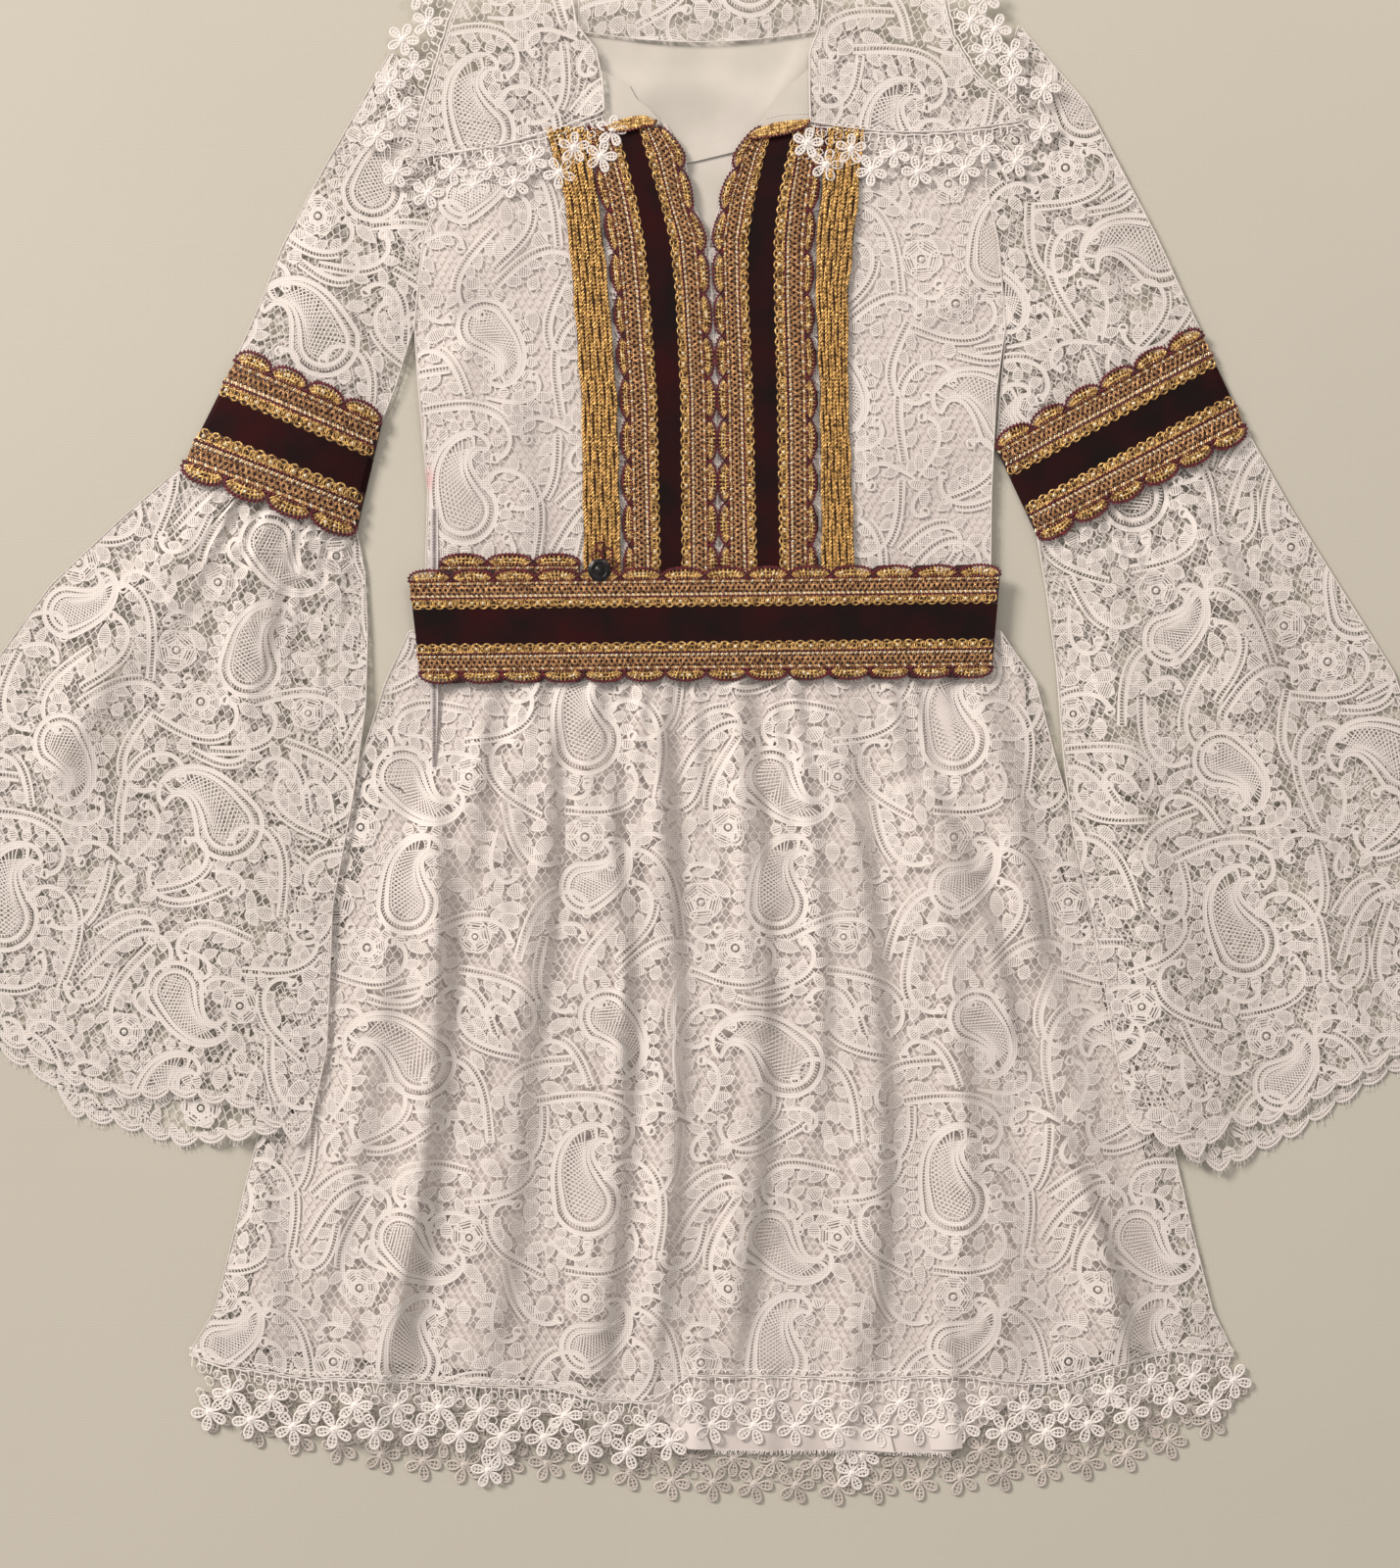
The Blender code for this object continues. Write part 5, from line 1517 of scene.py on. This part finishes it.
@dataclass
class Braid:
    """Gold braid: shells on its free edge, a wire lattice between cords, and a ring edge."""

    node: str
    warp: Warp
    length: float
    shell_pitch: float = 28.0
    shell_depth: float = 7.0
    lattice_pitch: float = 7.1
    ring_pitch: float = 7.2
    stitch_pitch: float = 3.2
    lattice_line: float = 6.9
    lattice_swing: float = 2.2
    stitch_rows: tuple[Point, Point] = ((2.7, 1.2), (10.9, -1.2))
    ring_line: float = 15.9
    ring_radius: float = 3.2
    gold: Threadwork = field(default_factory=Threadwork, init=False)
    lattice: Threadwork = field(default_factory=Threadwork, init=False)
    glint: Threadwork = field(default_factory=Threadwork, init=False)
    cord: Threadwork = field(default_factory=Threadwork, init=False)

    def build(self, room: Workroom) -> None:
        """Lay its gold wires and burgundy cords on the braid's solid."""
        self._shells()
        self._lattice()
        self._rings()
        for t in CORD_TRACKS:
            line = np.arange(0.0, self.length, 1.9)
            self.cord.rope(np.stack([line, np.full(len(line), t)], axis=1), 1.3)
        surface = room.surface(self.node)
        for part, work, finish in (("_wires", self.gold, GOLD_WIRE), ("_lattice", self.lattice, LATTICE_WIRE),
                                   ("_glints", self.glint, GLINT_WIRE), ("_cords", self.cord, BURGUNDY_CORD)):
            room.threads(self.node + part, work, finish, surface, self.warp)
        dress_node(room, self.node, BRAID_GROUND)

    def _shells(self) -> None:
        """Fans of glinting ribs with a twisted outline that crosses from one to the next."""
        number = max(round(self.length / self.shell_pitch), 1)
        pitch = self.length / number
        depth = self.shell_depth
        chance = random.Random(len(self.node))
        angle = np.linspace(0.0, math.pi, 14)
        for k in range(number):
            middle = (k + 0.5) * pitch
            bow = np.sin(angle) ** 0.75
            arch = np.stack([middle - 0.5 * pitch * np.cos(angle), 0.6 - (depth - 0.2) * bow], axis=1)
            self.cord.rope(arch, 2.1)
            tips = np.stack([middle - 0.45 * pitch * np.cos(angle), 0.6 - 0.86 * depth * bow], axis=1)
            feet = np.stack([middle - 0.30 * pitch * np.cos(angle), np.full(len(angle), 1.4)], axis=1)
            for foot, tip in zip(feet[1:-1], tips[1:-1]):
                self.gold.strip(np.array([foot, 0.5 * (foot + tip), tip]), 1.35, Section.CORD, 1.0)
            for share in (0.35, 0.68):
                row = share * tips + (1.0 - share) * feet
                self.gold.strip(row[1:-1], 0.9, Section.CORD, 0.5, base=0.55)
            # Near-white domes on the ribs: painted glints.
            for _ in range(3):
                spot = 0.6 * tips[chance.randrange(3, 11)] + 0.4 * feet[chance.randrange(3, 11)]
                self.glint.dome(tuple(spot), chance.uniform(0.8, 1.25), 1.4, 6)

    def _lattice(self) -> None:
        """Fine wavy wires that cross between two rows of slanted stitches."""
        line = np.arange(0.0, self.length, self.lattice_pitch / 8.0)
        for k, shift in enumerate((-0.55, 0.55, -0.55, 0.55)):
            phase = math.pi * (k // 2)
            turn = 2.0 * math.pi * line / self.lattice_pitch + phase
            wave = self.lattice_line + shift + self.lattice_swing * np.sin(turn)
            self.lattice.strip(np.stack([line, wave], axis=1), 0.7, Section.CORD, 0.8, base=0.06 * k)
        places = np.arange(0.6, self.length - 1.5, self.stitch_pitch)
        for t, slant in self.stitch_rows:
            for k, s in enumerate(places):
                for more in (0.0, 1.6):
                    stitch = np.array([[s + more, t + 0.8], [s + more + 0.5 * slant, t], [s + more + slant, t - 0.8]])
                    # The bright stitches are silver thread in the near-white finish, with painted glint.
                    bright = more and (t > 5.0 or k % 2)
                    (self.glint if bright else self.lattice).strip(stitch, 1.25, Section.CORD, 0.9)

    def _rings(self) -> None:
        """Overlapping rings along the velvet, with near-white domes on them as painted glints."""
        for k, s in enumerate(np.arange(0.5 * self.ring_pitch, self.length - 1.0, self.ring_pitch)):
            self.gold.strip(ring_line((s, self.ring_line), self.ring_radius, 12), 1.0, Section.CORD, 0.8, closed=True)
            self.gold.strip(ring_line((s + 0.5 * self.ring_pitch, 15.4), 2.3, 10), 0.9, Section.CORD, 0.8, closed=True,
                       base=0.2)
            self.gold.strip(np.array([[s - 2.6, 18.0], [s, 16.4], [s + 2.6, 18.0]]), 0.9, Section.CORD, 0.7, base=0.3)
            if k % 3 != 1:
                self.glint.dome((s, 15.6), 1.25, 1.5, 6)
        line = np.arange(0.0, self.length, 2.4)
        self.gold.strip(np.stack([line, 13.9 + 0.25 * np.sin(line)], axis=1), 1.1, Section.CORD, 0.6)


def dress_node(room: Workroom, node: str, finish: Finish) -> None:
    """Give a CAD node that stays its finish.

    Args:
        room: The workroom.
        node: Name of the node.
        finish: Its finish.
    """
    mesh = room.nodes[node].data
    mesh.materials.clear()
    mesh.materials.append(material_of(finish))
    LOG.info("%s keeps its solid", node)


def corner_warp(corners: Line, share: float, from_top: bool) -> Warp:
    """Map a braid onto the top or foot of a band between four corners.

    Args:
        corners: Top left, top right, foot left and foot right of the band.
        share: The braid's part of the depth.
        from_top: True where its free edge is the band's top.

    Returns:
        The mapping.
    """
    c = np.array(corners, float)
    length = float(np.linalg.norm(c[1] - c[0]))

    def warp(places: np.ndarray) -> np.ndarray:
        u = (places[:, 0] / length)[:, None]
        v = (places[:, 1] / BRAID_WIDTH * share)[:, None]
        v = v if from_top else 1.0 - v
        top = c[0] + (c[1] - c[0]) * u
        foot = c[2] + (c[3] - c[2]) * u
        return top + (foot - top) * v
    return warp


def placket_x(edge: str, y: np.ndarray) -> np.ndarray:
    """x of a named edge of the placket at each height."""
    column = 1 + PLACKET_EDGES.index(edge)
    rows = np.array(PLACKET)[::-1]
    return np.interp(y, rows[:, 0], rows[:, column])


def placket_warp(free: str, straight: str, nominal: float = BRAID_WIDTH) -> Warp:
    """Map a strip onto the placket, from its head down.

    Args:
        free: Its free edge.
        straight: Its other edge.
        nominal: The strip's width in its own measure.

    Returns:
        The mapping.
    """
    def warp(places: np.ndarray) -> np.ndarray:
        y = PLACKET[0][0] - places[:, 0]
        share = places[:, 1] / nominal
        start, end = placket_x(free, y), placket_x(straight, y)
        inward = np.where(places[:, 1] < 0.0, np.sign(end - start) * places[:, 1] * 0.85, (end - start) * share)
        return np.stack([start + inward, y], axis=1)
    return warp


@dataclass
class CordBand:
    """Broad band of plaited gold strands beside the placket."""

    node: str
    edges: tuple[str, str]
    length: float = 300.0
    width: float = 25.0
    strands: int = 9
    strand_width: float = 2.5
    twist_pitch: float = 2.3

    def build(self, room: Workroom) -> None:
        """Plait the strands on the band's solid."""
        work = Threadwork()
        chance = random.Random(len(self.node))
        line = np.arange(0.0, self.length + 1.0, 2.2)
        for i in range(self.strands):
            middle = (i + 0.5) * self.width / self.strands
            phase = math.pi * (i % 2) + chance.uniform(-0.5, 0.5)
            wander = 0.5 * np.sin(2.0 * math.pi * line / 41.0 + phase) + 0.25 * np.sin(line / 5.1 + 2.0 * i)
            wide = self.strand_width + 0.3 * np.sin(line * 1.7 + i)
            work.strip(np.stack([line, middle + wander], axis=1), wide, Section.ROUND, 1.1, base=0.25 * (i % 2))
            lean = 1.0 if i % 2 else -1.0
            for s in np.arange(1.0, self.length - 3.0, self.twist_pitch):
                t = middle + float(np.interp(s, line, wander))
                twist = np.array([[s, t - 1.1 * lean], [s + 1.4, t], [s + 2.8, t + 1.1 * lean]])
                work.strip(twist, 1.05, Section.CORD, 0.6, base=1.0 + 0.25 * (i % 2))
        warp = placket_warp(self.edges[0], self.edges[1], self.width)
        room.threads(self.node + "_strands", work, GOLD_CORD, room.surface(self.node), warp, (), -0.2)
        # The band's solid, seen only between the strands, takes the painted shade.
        dress_node(room, self.node, CORD_GAP_SHADE)


# ---------------------------------------------------------------- the dress

@dataclass
class Bodice:
    """Fronts and back of the bodice, the facing and the lining."""

    front_creases: tuple[Crease, ...] = creases_of(
        (-160.0, 372.0, -120.0, 300.0, 12.0, 3.6), (-186.0, 290.0, -150.0, 268.0, 8.0, -1.6),
        (-176.0, 255.0, -110.0, 205.0, 14.0, 3.0), (180.0, 300.0, 130.0, 262.0, 9.0, 1.8),
        (-172.0, 340.0, -158.0, 118.0, 10.0, 3.2), (-132.0, 220.0, -112.0, 116.0, 9.0, 2.6),
        (120.0, 350.0, 150.0, 240.0, 12.0, -1.4), (178.0, 210.0, 120.0, 150.0, 14.0, 1.5),
        (-140.0, 120.0, -130.0, 240.0, 16.0, 1.2), (110.0, 130.0, 118.0, 230.0, 12.0, 1.1),
    )
    neck_creases: tuple[Crease, ...] = creases_of(
        (70.0, 452.0, 36.0, 398.0, 3.0, 2.0), (-62.0, 450.0, 66.0, 456.0, 7.0, -0.8),
        (-58.0, 426.0, 58.0, 414.0, 9.0, 2.4), (-20.0, 452.0, 6.0, 380.0, 14.0, -0.7),
        (-66.0, 440.0, -34.0, 412.0, 5.0, 1.4),
    )

    def build(self, room: Workroom) -> None:
        """Lay every panel of the bodice."""
        room.shell("bodice_back_lining", SHADED_SATIN, self.neck_creases, 6.0)
        for side, shift in (("left", (-210.0, 90.0)), ("right", (14.0, 60.0))):
            room.shell("bodice_lining_" + side, SHADED_LINING, self.front_creases, 9.0)
            front = room.lace_panel("bodice_front_" + side, 0.0, shift, self.front_creases)
            facing = np.array(FACINGS[side])
            room.declare(room.laid("neck_facing_" + side, facing, front, SHADED_SATIN, 2.5, 0.5), facing)
        tuck = np.array(NECK_TUCK)
        lining = room.surface("bodice_back_lining", self.neck_creases)
        room.declare(room.laid("neck_tuck", tuck, lining, SHADED_SATIN, 2.5, 1.1), tuck)
        stitches = Threadwork()
        row = spaced(np.array(FACING_STITCHES), 2.4)
        stitches.rungs(row[:-1] + [0.3, 0.0], row[1:] - [0.5, 0.0], 0.6, 0.0)
        room.threads("facing_stitches", stitches, ZIP_TAPE, front, lift=0.75)
        room.lace_panel("bodice_back", 0.0, (-120.0, 40.0), under=True)


@dataclass
class Skirt:
    """Gathered skirt with its lining and daisy trims."""

    gathers: Gathers = Gathers((0.0, 703.0), 640.0, 120.0, 252.0, 288.0, 26, 5.5, 7)
    creases: tuple[Crease, ...] = creases_of(
        (-176.0, -30.0, -214.0, -440.0, 7.0, 10.0, 2.0), (-128.0, -10.0, -150.0, -440.0, 12.0, 6.5),
        (-76.0, 52.0, -72.0, -440.0, 7.0, 8.5), (-40.0, 52.0, -38.0, -440.0, 6.0, 7.0),
        (-12.0, 40.0, -4.0, -340.0, 7.0, 4.0), (22.0, 52.0, 14.0, -428.0, 7.0, 8.0),
        (56.0, 40.0, 66.0, -300.0, 7.0, 5.0), (78.0, 40.0, 106.0, -428.0, 8.0, 8.0),
        (146.0, -36.0, 204.0, -230.0, 8.0, 8.5), (206.0, -210.0, 278.0, -424.0, 8.0, 9.0),
        (118.0, 46.0, 168.0, -428.0, 9.0, 6.0), (-300.0, -270.0, -282.0, -412.0, 10.0, 4.4),
        (-204.0, -20.0, -262.0, -400.0, 10.0, 5.5), (-110.0, 48.0, -112.0, -200.0, 6.0, 6.0),
        (176.0, 40.0, 216.0, -160.0, 8.0, 6.0), (-150.0, 40.0, -158.0, -110.0, 7.0, 5.0),
    )
    foot_folds: tuple[Crease, ...] = creases_of(
        (-6.0, -370.0, -8.0, -480.0, 5.0, 3.6), (34.0, -380.0, 42.0, -480.0, 5.0, 3.0),
        (66.0, -400.0, 62.0, -480.0, 4.0, 1.8), (96.0, -380.0, 88.0, -480.0, 6.0, 3.0),
        (130.0, -400.0, 136.0, -480.0, 4.0, 2.0), (154.0, -370.0, 160.0, -480.0, 5.0, 3.6),
        (-120.0, -400.0, -124.0, -480.0, 8.0, 2.4), (230.0, -390.0, 240.0, -480.0, 8.0, 2.6),
    )

    def build(self, room: Workroom) -> None:
        """Lay the skirt from the back up."""
        folds = (self.gathers, *self.creases)
        room.lace_panel("skirt_back", 0.0, (-40.0, -150.0), under=True)
        over = (*folds, *self.foot_folds)
        room.shell("skirt_lining_back", SHADED_LINING, self.foot_folds, 6.0)
        room.shell("skirt_lining_front", SHADED_LINING, over, 7.0)
        self._fray(room)
        self._lining_folds(room)
        front = room.lace_panel("skirt_front", 0.0, (-130.0, -60.0), over)
        loose = Threadwork()
        loose.strip(np.array(LOOSE_THREAD), 0.7, rise=0.5)
        room.threads("loose_thread", loose, STUD_PAINT, front, lift=0.2)
        back, front_seam = (tuple((x, y - HEM_DROP) for x, y in hem) for hem in (BACK_HEM, FRONT_HEM))
        DaisyTrim("hem_trim_back", back, hang=DOWN, seed=8, finish=HEM_DAISY).build(room)
        DaisyTrim("hem_trim_front", front_seam, hang=DOWN, folds=over).build(room)
        doubled = Threadwork()
        drawer = DaisyTrim("hem_trim_back", BACK_HEM)
        for x, y, turn, base in DOUBLED_DAISIES:
            drawer.daisy(doubled, x, y, 11.0, turn, base)
        room.threads("hem_trim_doubled", doubled, DAISY, room.surface("hem_trim_back"))

    def _lining_folds(self, room: Workroom) -> None:
        """Loose folds of the lining below the front hem, each highest along its right side."""
        work = Threadwork()
        columns, rows = 9, 6
        across, down = np.meshgrid(np.linspace(0.0, 1.0, columns), np.linspace(0.0, 1.0, rows))
        u, v = across.ravel()[:, None], down.ravel()[:, None]
        first = (np.arange(rows - 1)[:, None] * columns + np.arange(columns - 1)[None, :]).ravel()
        quads = np.stack([first, first + columns, first + columns + 1, first + 1], axis=1)
        for corners in LINING_FOLDS:
            a, b, c, d = np.array(corners)
            flat = (1.0 - v) * ((1.0 - u) * a + u * b) + v * ((1.0 - u) * c + u * d)
            lift = 0.2 + (0.2 + 1.3 * v) * u ** 0.8
            work.add(np.concatenate([flat, lift], axis=1), quads)
        room.threads("lining_folds", work, FOLD_SATIN, room.surface("skirt_lining_back", self.foot_folds))

    def _fray(self, room: Workroom) -> None:
        """Frayed threads along the foot of the lining, where it shows below the lace."""
        surface = room.surface("skirt_lining_back", self.foot_folds)
        foot = surface.outline[surface.outline[:, 1] < surface.outline[:, 1].min() + 14.0]
        foot = foot[np.argsort(foot[:, 0])]
        chance = random.Random(12)
        work = Threadwork()
        for x in np.arange(foot[0, 0], foot[-1, 0], 0.9):
            start = np.array([x, float(np.interp(x, foot[:, 0], foot[:, 1])) + 0.8])
            work.rungs(start[None, :], (start + [chance.uniform(-1.5, 1.5), -chance.uniform(1.2, 3.6)])[None, :],
                       0.55, 0.0)
        room.threads("lining_fray", work, DAISY, surface, lift=0.5)


@dataclass
class Sleeve:
    """One sleeve: upper part, elbow band and bell."""

    side: str
    band: Line
    upper_angle: float
    bell_angle: float
    fan: Gathers
    creases: tuple[Crease, ...]
    shell_pitch: float
    braid_share: float = 0.34

    def build(self, room: Workroom) -> None:
        """Lay the sleeve from the back up."""
        folds = (self.fan, *self.creases)
        room.lace_panel("sleeve_back_" + self.side, self.upper_angle, (20.0, 60.0), under=True)
        room.lace_panel("sleeve_front_" + self.side, self.upper_angle, (-30.0, 10.0), self.creases)
        room.lace_panel("bell_back_" + self.side, self.bell_angle, (60.0, -20.0), under=True)
        room.lace_panel("bell_front_" + self.side, self.bell_angle, (10.0, 30.0), folds)
        length = math.dist(self.band[0], self.band[1])
        for part, top in (("braid_top", True), ("braid_foot", False)):
            Braid("band_%s_%s" % (part, self.side), corner_warp(self.band, self.braid_share, top), length,
                  shell_pitch=self.shell_pitch).build(room)
            dress_node(room, "band_%s_%s_under" % (part, self.side), BRAID_GROUND)
        for part in ("", "_under"):
            dress_node(room, "band_velvet_%s%s" % (self.side, part), VELVET)


@dataclass
class Collar:
    """Pointed leaves, the roll at the nape and their daisy trims."""

    def build(self, room: Workroom) -> None:
        """Lay the collar and its trims."""
        room.lace_panel("collar_back", 20.0, (0.0, 420.0))
        for side, flip in (("left", 1.0), ("right", -1.0)):
            room.lace_panel("collar_" + side, 8.0 * flip, (-190.0 if flip > 0 else 60.0, 330.0), (), 1.1)
            DaisyTrim("collar_trim_" + side, COLLAR_SEAMS[side], 34.0, corner=COLLAR_CORNER, flip=flip,
                      seed=4).build(room)


@dataclass
class Placket:
    """Velvet strips, braids and gold bands down the front."""

    def build(self, room: Workroom) -> None:
        """Dress every strip of the placket."""
        length = PLACKET[0][0] - PLACKET[-1][0]
        for side, letter, outer in (("left", "l", 0), ("right", "r", 1)):
            dress_node(room, "placket_velvet_" + side, VELVET)
            for part, edge, depth in (("outer", outer, 6.0), ("inner", 1 - outer, 7.4)):
                warp = placket_warp("braid_%s%d" % (letter, edge), "velvet_%s%d" % (letter, edge))
                Braid("placket_braid_%s_%s" % (part, side), warp, length, shell_depth=depth).build(room)
            CordBand("cord_band_" + side, ("cord_%s0" % letter, "cord_%s1" % letter), length).build(room)
            self._folded_head(room, side)

    def _folded_head(self, room: Workroom, side: str) -> None:
        """The end of the braid that is folded over the head of the placket.

        Args:
            room: The workroom.
            side: Left or right.
        """
        top = spaced(np.array(HEAD_FOLDS[side]), 1.8)
        share = np.linspace(0.0, 1.0, len(top))
        foot = top - np.stack([np.zeros(len(top)), 8.6 * np.sin(math.pi * share) ** 0.5], axis=1)
        work = Threadwork()
        for a, b in zip(top, foot):
            work.strip(np.array([a, 0.5 * (a + b), b + [0.8, 0.0]]), 1.9, Section.CORD, 0.7)
        for part in (0.2, 0.5, 0.8):
            work.strip(part * foot + (1.0 - part) * top, 0.9, Section.CORD, 0.5, base=0.4)
        cord = Threadwork()
        cord.rope(foot, 1.5)
        surface = room.surface("placket_velvet_" + side)
        room.threads("head_fold_%s" % side, work, GOLD_WIRE, surface, lift=1.0)
        room.threads("head_cord_%s" % side, cord, BURGUNDY_CORD, surface, lift=1.2)


@dataclass
class Belt:
    """Belt, the braid that peeks out above it, its press stud and thread loop."""

    braid_share: float = 0.31

    def build(self, room: Workroom) -> None:
        """Dress the belt."""
        length = math.dist(BELT[0], BELT[1])
        for part, top in (("top", True), ("foot", False)):
            Braid("belt_braid_" + part, corner_warp(BELT, self.braid_share, top), length).build(room)
            dress_node(room, "belt_braid_%s_under" % part, BRAID_GROUND)
        for part in ("belt_velvet", "belt_velvet_under"):
            dress_node(room, part, VELVET)
        spare = math.dist(WAIST_TRIM[0], WAIST_TRIM[1])
        Braid("waist_trim", corner_warp(WAIST_TRIM, 0.9, True), spare, shell_pitch=30.3).build(room)
        dress_node(room, "press_stud", STUD_PAINT)
        dress_node(room, "side_zip", ZIP_TAPE)
        self._stud_and_zip(room)

    @staticmethod
    def _stud_and_zip(room: Workroom) -> None:
        """Rim and peg of the press stud, its thread loop, and the closed coil of the zip."""
        stud = room.surface("press_stud")
        centre = tuple(stud.outline.mean(0))
        rim, loop, coil = Threadwork(), Threadwork(), Threadwork()
        rim.strip(ring_line(centre, 5.4, 24), 1.6, Section.CORD, 1.0, closed=True)
        rim.dome(centre, 2.0, 1.6, 12)
        room.threads("stud_rim", rim, STUD_PAINT, stud, lift=-0.2)
        for dx, dy, radius in STUD_LOOPS:
            loop.rope(ring_line((centre[0] + dx, centre[1] + dy), radius, 14), 1.0)
        room.threads("stud_loop", loop, BURGUNDY_CORD, room.surface("cord_band_left"), lift=1.6)
        tape = room.surface("side_zip")
        low, high = tape.outline[:, 1].min(), tape.outline[:, 1].max()
        ends = [tape.outline[np.abs(tape.outline[:, 1] - y) < 12.0].mean(0)[0] for y in (high, low)]
        line = np.stack([np.linspace(*ends, 90), np.linspace(high - 2.0, low + 2.0, 90)], axis=1)
        coil.strip(line, 1.5, Section.CORD, 0.5)
        coil.rungs(line - [1.3, 0.0], line + [1.3, 0.6], 0.8, 0.2)
        room.threads("zip_coil", coil, ZIP_COIL, tape, lift=0.1)


# ---------------------------------------------------------------- stage

@dataclass(frozen=True)
class Studio:
    """The sheet that the dress lies on, soft light and the camera straight above."""

    centre_m: Point = (-0.0035, -0.0307)
    camera_up_m: float = 1.6
    cloth_level_m: float = 0.005
    view_height_m: float = 1.024
    floor_tone: Tone = (0.545, 0.53, 0.46)
    floor_half_m: float = 3.0
    floor_z_m: float = -0.0006
    room_tone: Tone = (1.0, 0.92, 0.87)
    room_strength: float = 0.44

    def build(self) -> None:
        """Set the stage."""
        self._floor()
        self._light("window", (-4.6, 4.0, 3.6), 1.9, 530.0, (1.0, 0.90, 0.83))
        self._light("lamp", (0.6, 1.6, 2.0), 0.5, 9.0, (1.0, 0.90, 0.80))
        world = bpy.data.worlds.new("room")
        world.use_nodes = True
        Nodes.preset(world.node_tree.nodes["Background"], {"Color": (*self.room_tone, 1.0),
                                                           "Strength": self.room_strength})
        bpy.context.scene.world = world
        bpy.context.scene.view_settings.view_transform = "Standard"
        data = bpy.data.cameras.new("above")
        data.lens = 0.5 * data.sensor_width / (0.5 * self.view_height_m / self.camera_up_m)
        camera = bpy.data.objects.new("above", data)
        camera.location = (*self.centre_m, self.camera_up_m + self.cloth_level_m)
        bpy.context.scene.collection.objects.link(camera)
        bpy.context.scene.camera = camera

    @staticmethod
    def _light(name: str, place: Place, size: float, power: float, colour: Tone) -> None:
        """Add one large soft light that faces the dress.

        Args:
            name: Its name.
            place: Its place in metres.
            size: Its side in metres.
            power: Its power in watts.
            colour: Its colour.
        """
        data = bpy.data.lights.new(name, "AREA")
        data.size, data.energy, data.color = size, power, colour
        lamp = bpy.data.objects.new(name, data)
        lamp.location = place
        lamp.rotation_mode = "QUATERNION"
        lamp.rotation_quaternion = (Vector((0.0, 0.0, 0.0)) - Vector(place)).to_track_quat("-Z", "Y")
        bpy.context.scene.collection.objects.link(lamp)

    def _floor(self) -> None:
        """A plain pale sheet of cloth."""
        size, z = self.floor_half_m, self.floor_z_m
        mesh = bpy.data.meshes.new("bed_sheet")
        mesh.from_pydata([(-size, -size, z), (size, -size, z), (size, size, z), (-size, size, z)], [], [(0, 1, 2, 3)])
        tone = self.floor_tone
        finish = Finish("bed_sheet", Mottle(tone, tuple(1.05 * c for c in tone), 0.6), "lace", 0.85,
                        grain_per_m=1200.0, grain_height=0.15)
        mesh.materials.append(material_of(finish))
        floor = bpy.data.objects.new("bed_sheet", mesh)
        bpy.context.scene.collection.objects.link(floor)


def main() -> None:
    """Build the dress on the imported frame."""
    logging.basicConfig(level=logging.INFO, format="%(name)s %(message)s")
    bpy.ops.object.select_all(action="SELECT")
    bpy.ops.object.delete()
    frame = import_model()
    room = Workroom(frame["nodes"])
    LOG.info("lace repeat: %d quads", len(room.lace.quads))
    left_fan = Gathers((-215.0, 356.0), 205.0, 70.0, 238.0, 266.0, 13, 5.0, 2)
    right_fan = Gathers((190.0, 360.0), 210.0, 70.0, 276.0, 306.0, 13, 5.0, 3)
    Bodice().build(room)
    Skirt().build(room)
    Sleeve("left", LEFT_BAND, -22.0, -12.0, left_fan, creases_of(
        (-285.0, 150.0, -300.0, 14.0, 9.0, 2.4), (-383.0, 70.0, -438.0, -42.0, 11.0, 2.2),
        (-260.0, 380.0, -232.0, 250.0, 9.0, 1.8), (-205.0, 380.0, -222.0, 300.0, 8.0, -1.6),
    ), 25.0).build(room)
    Sleeve("right", RIGHT_BAND, 24.0, 14.0, right_fan, creases_of(
        (305.0, 164.0, 375.0, 18.0, 9.0, 2.6), (255.0, 68.0, 298.0, -260.0, 10.0, 2.4),
        (250.0, 390.0, 262.0, 280.0, 10.0, 1.8), (205.0, 360.0, 222.0, 250.0, 8.0, -1.5),
    ), 25.6).build(room)
    Collar().build(room)
    Placket().build(room)
    Belt().build(room)
    Studio().build()


if __name__ == "__main__":
    main()
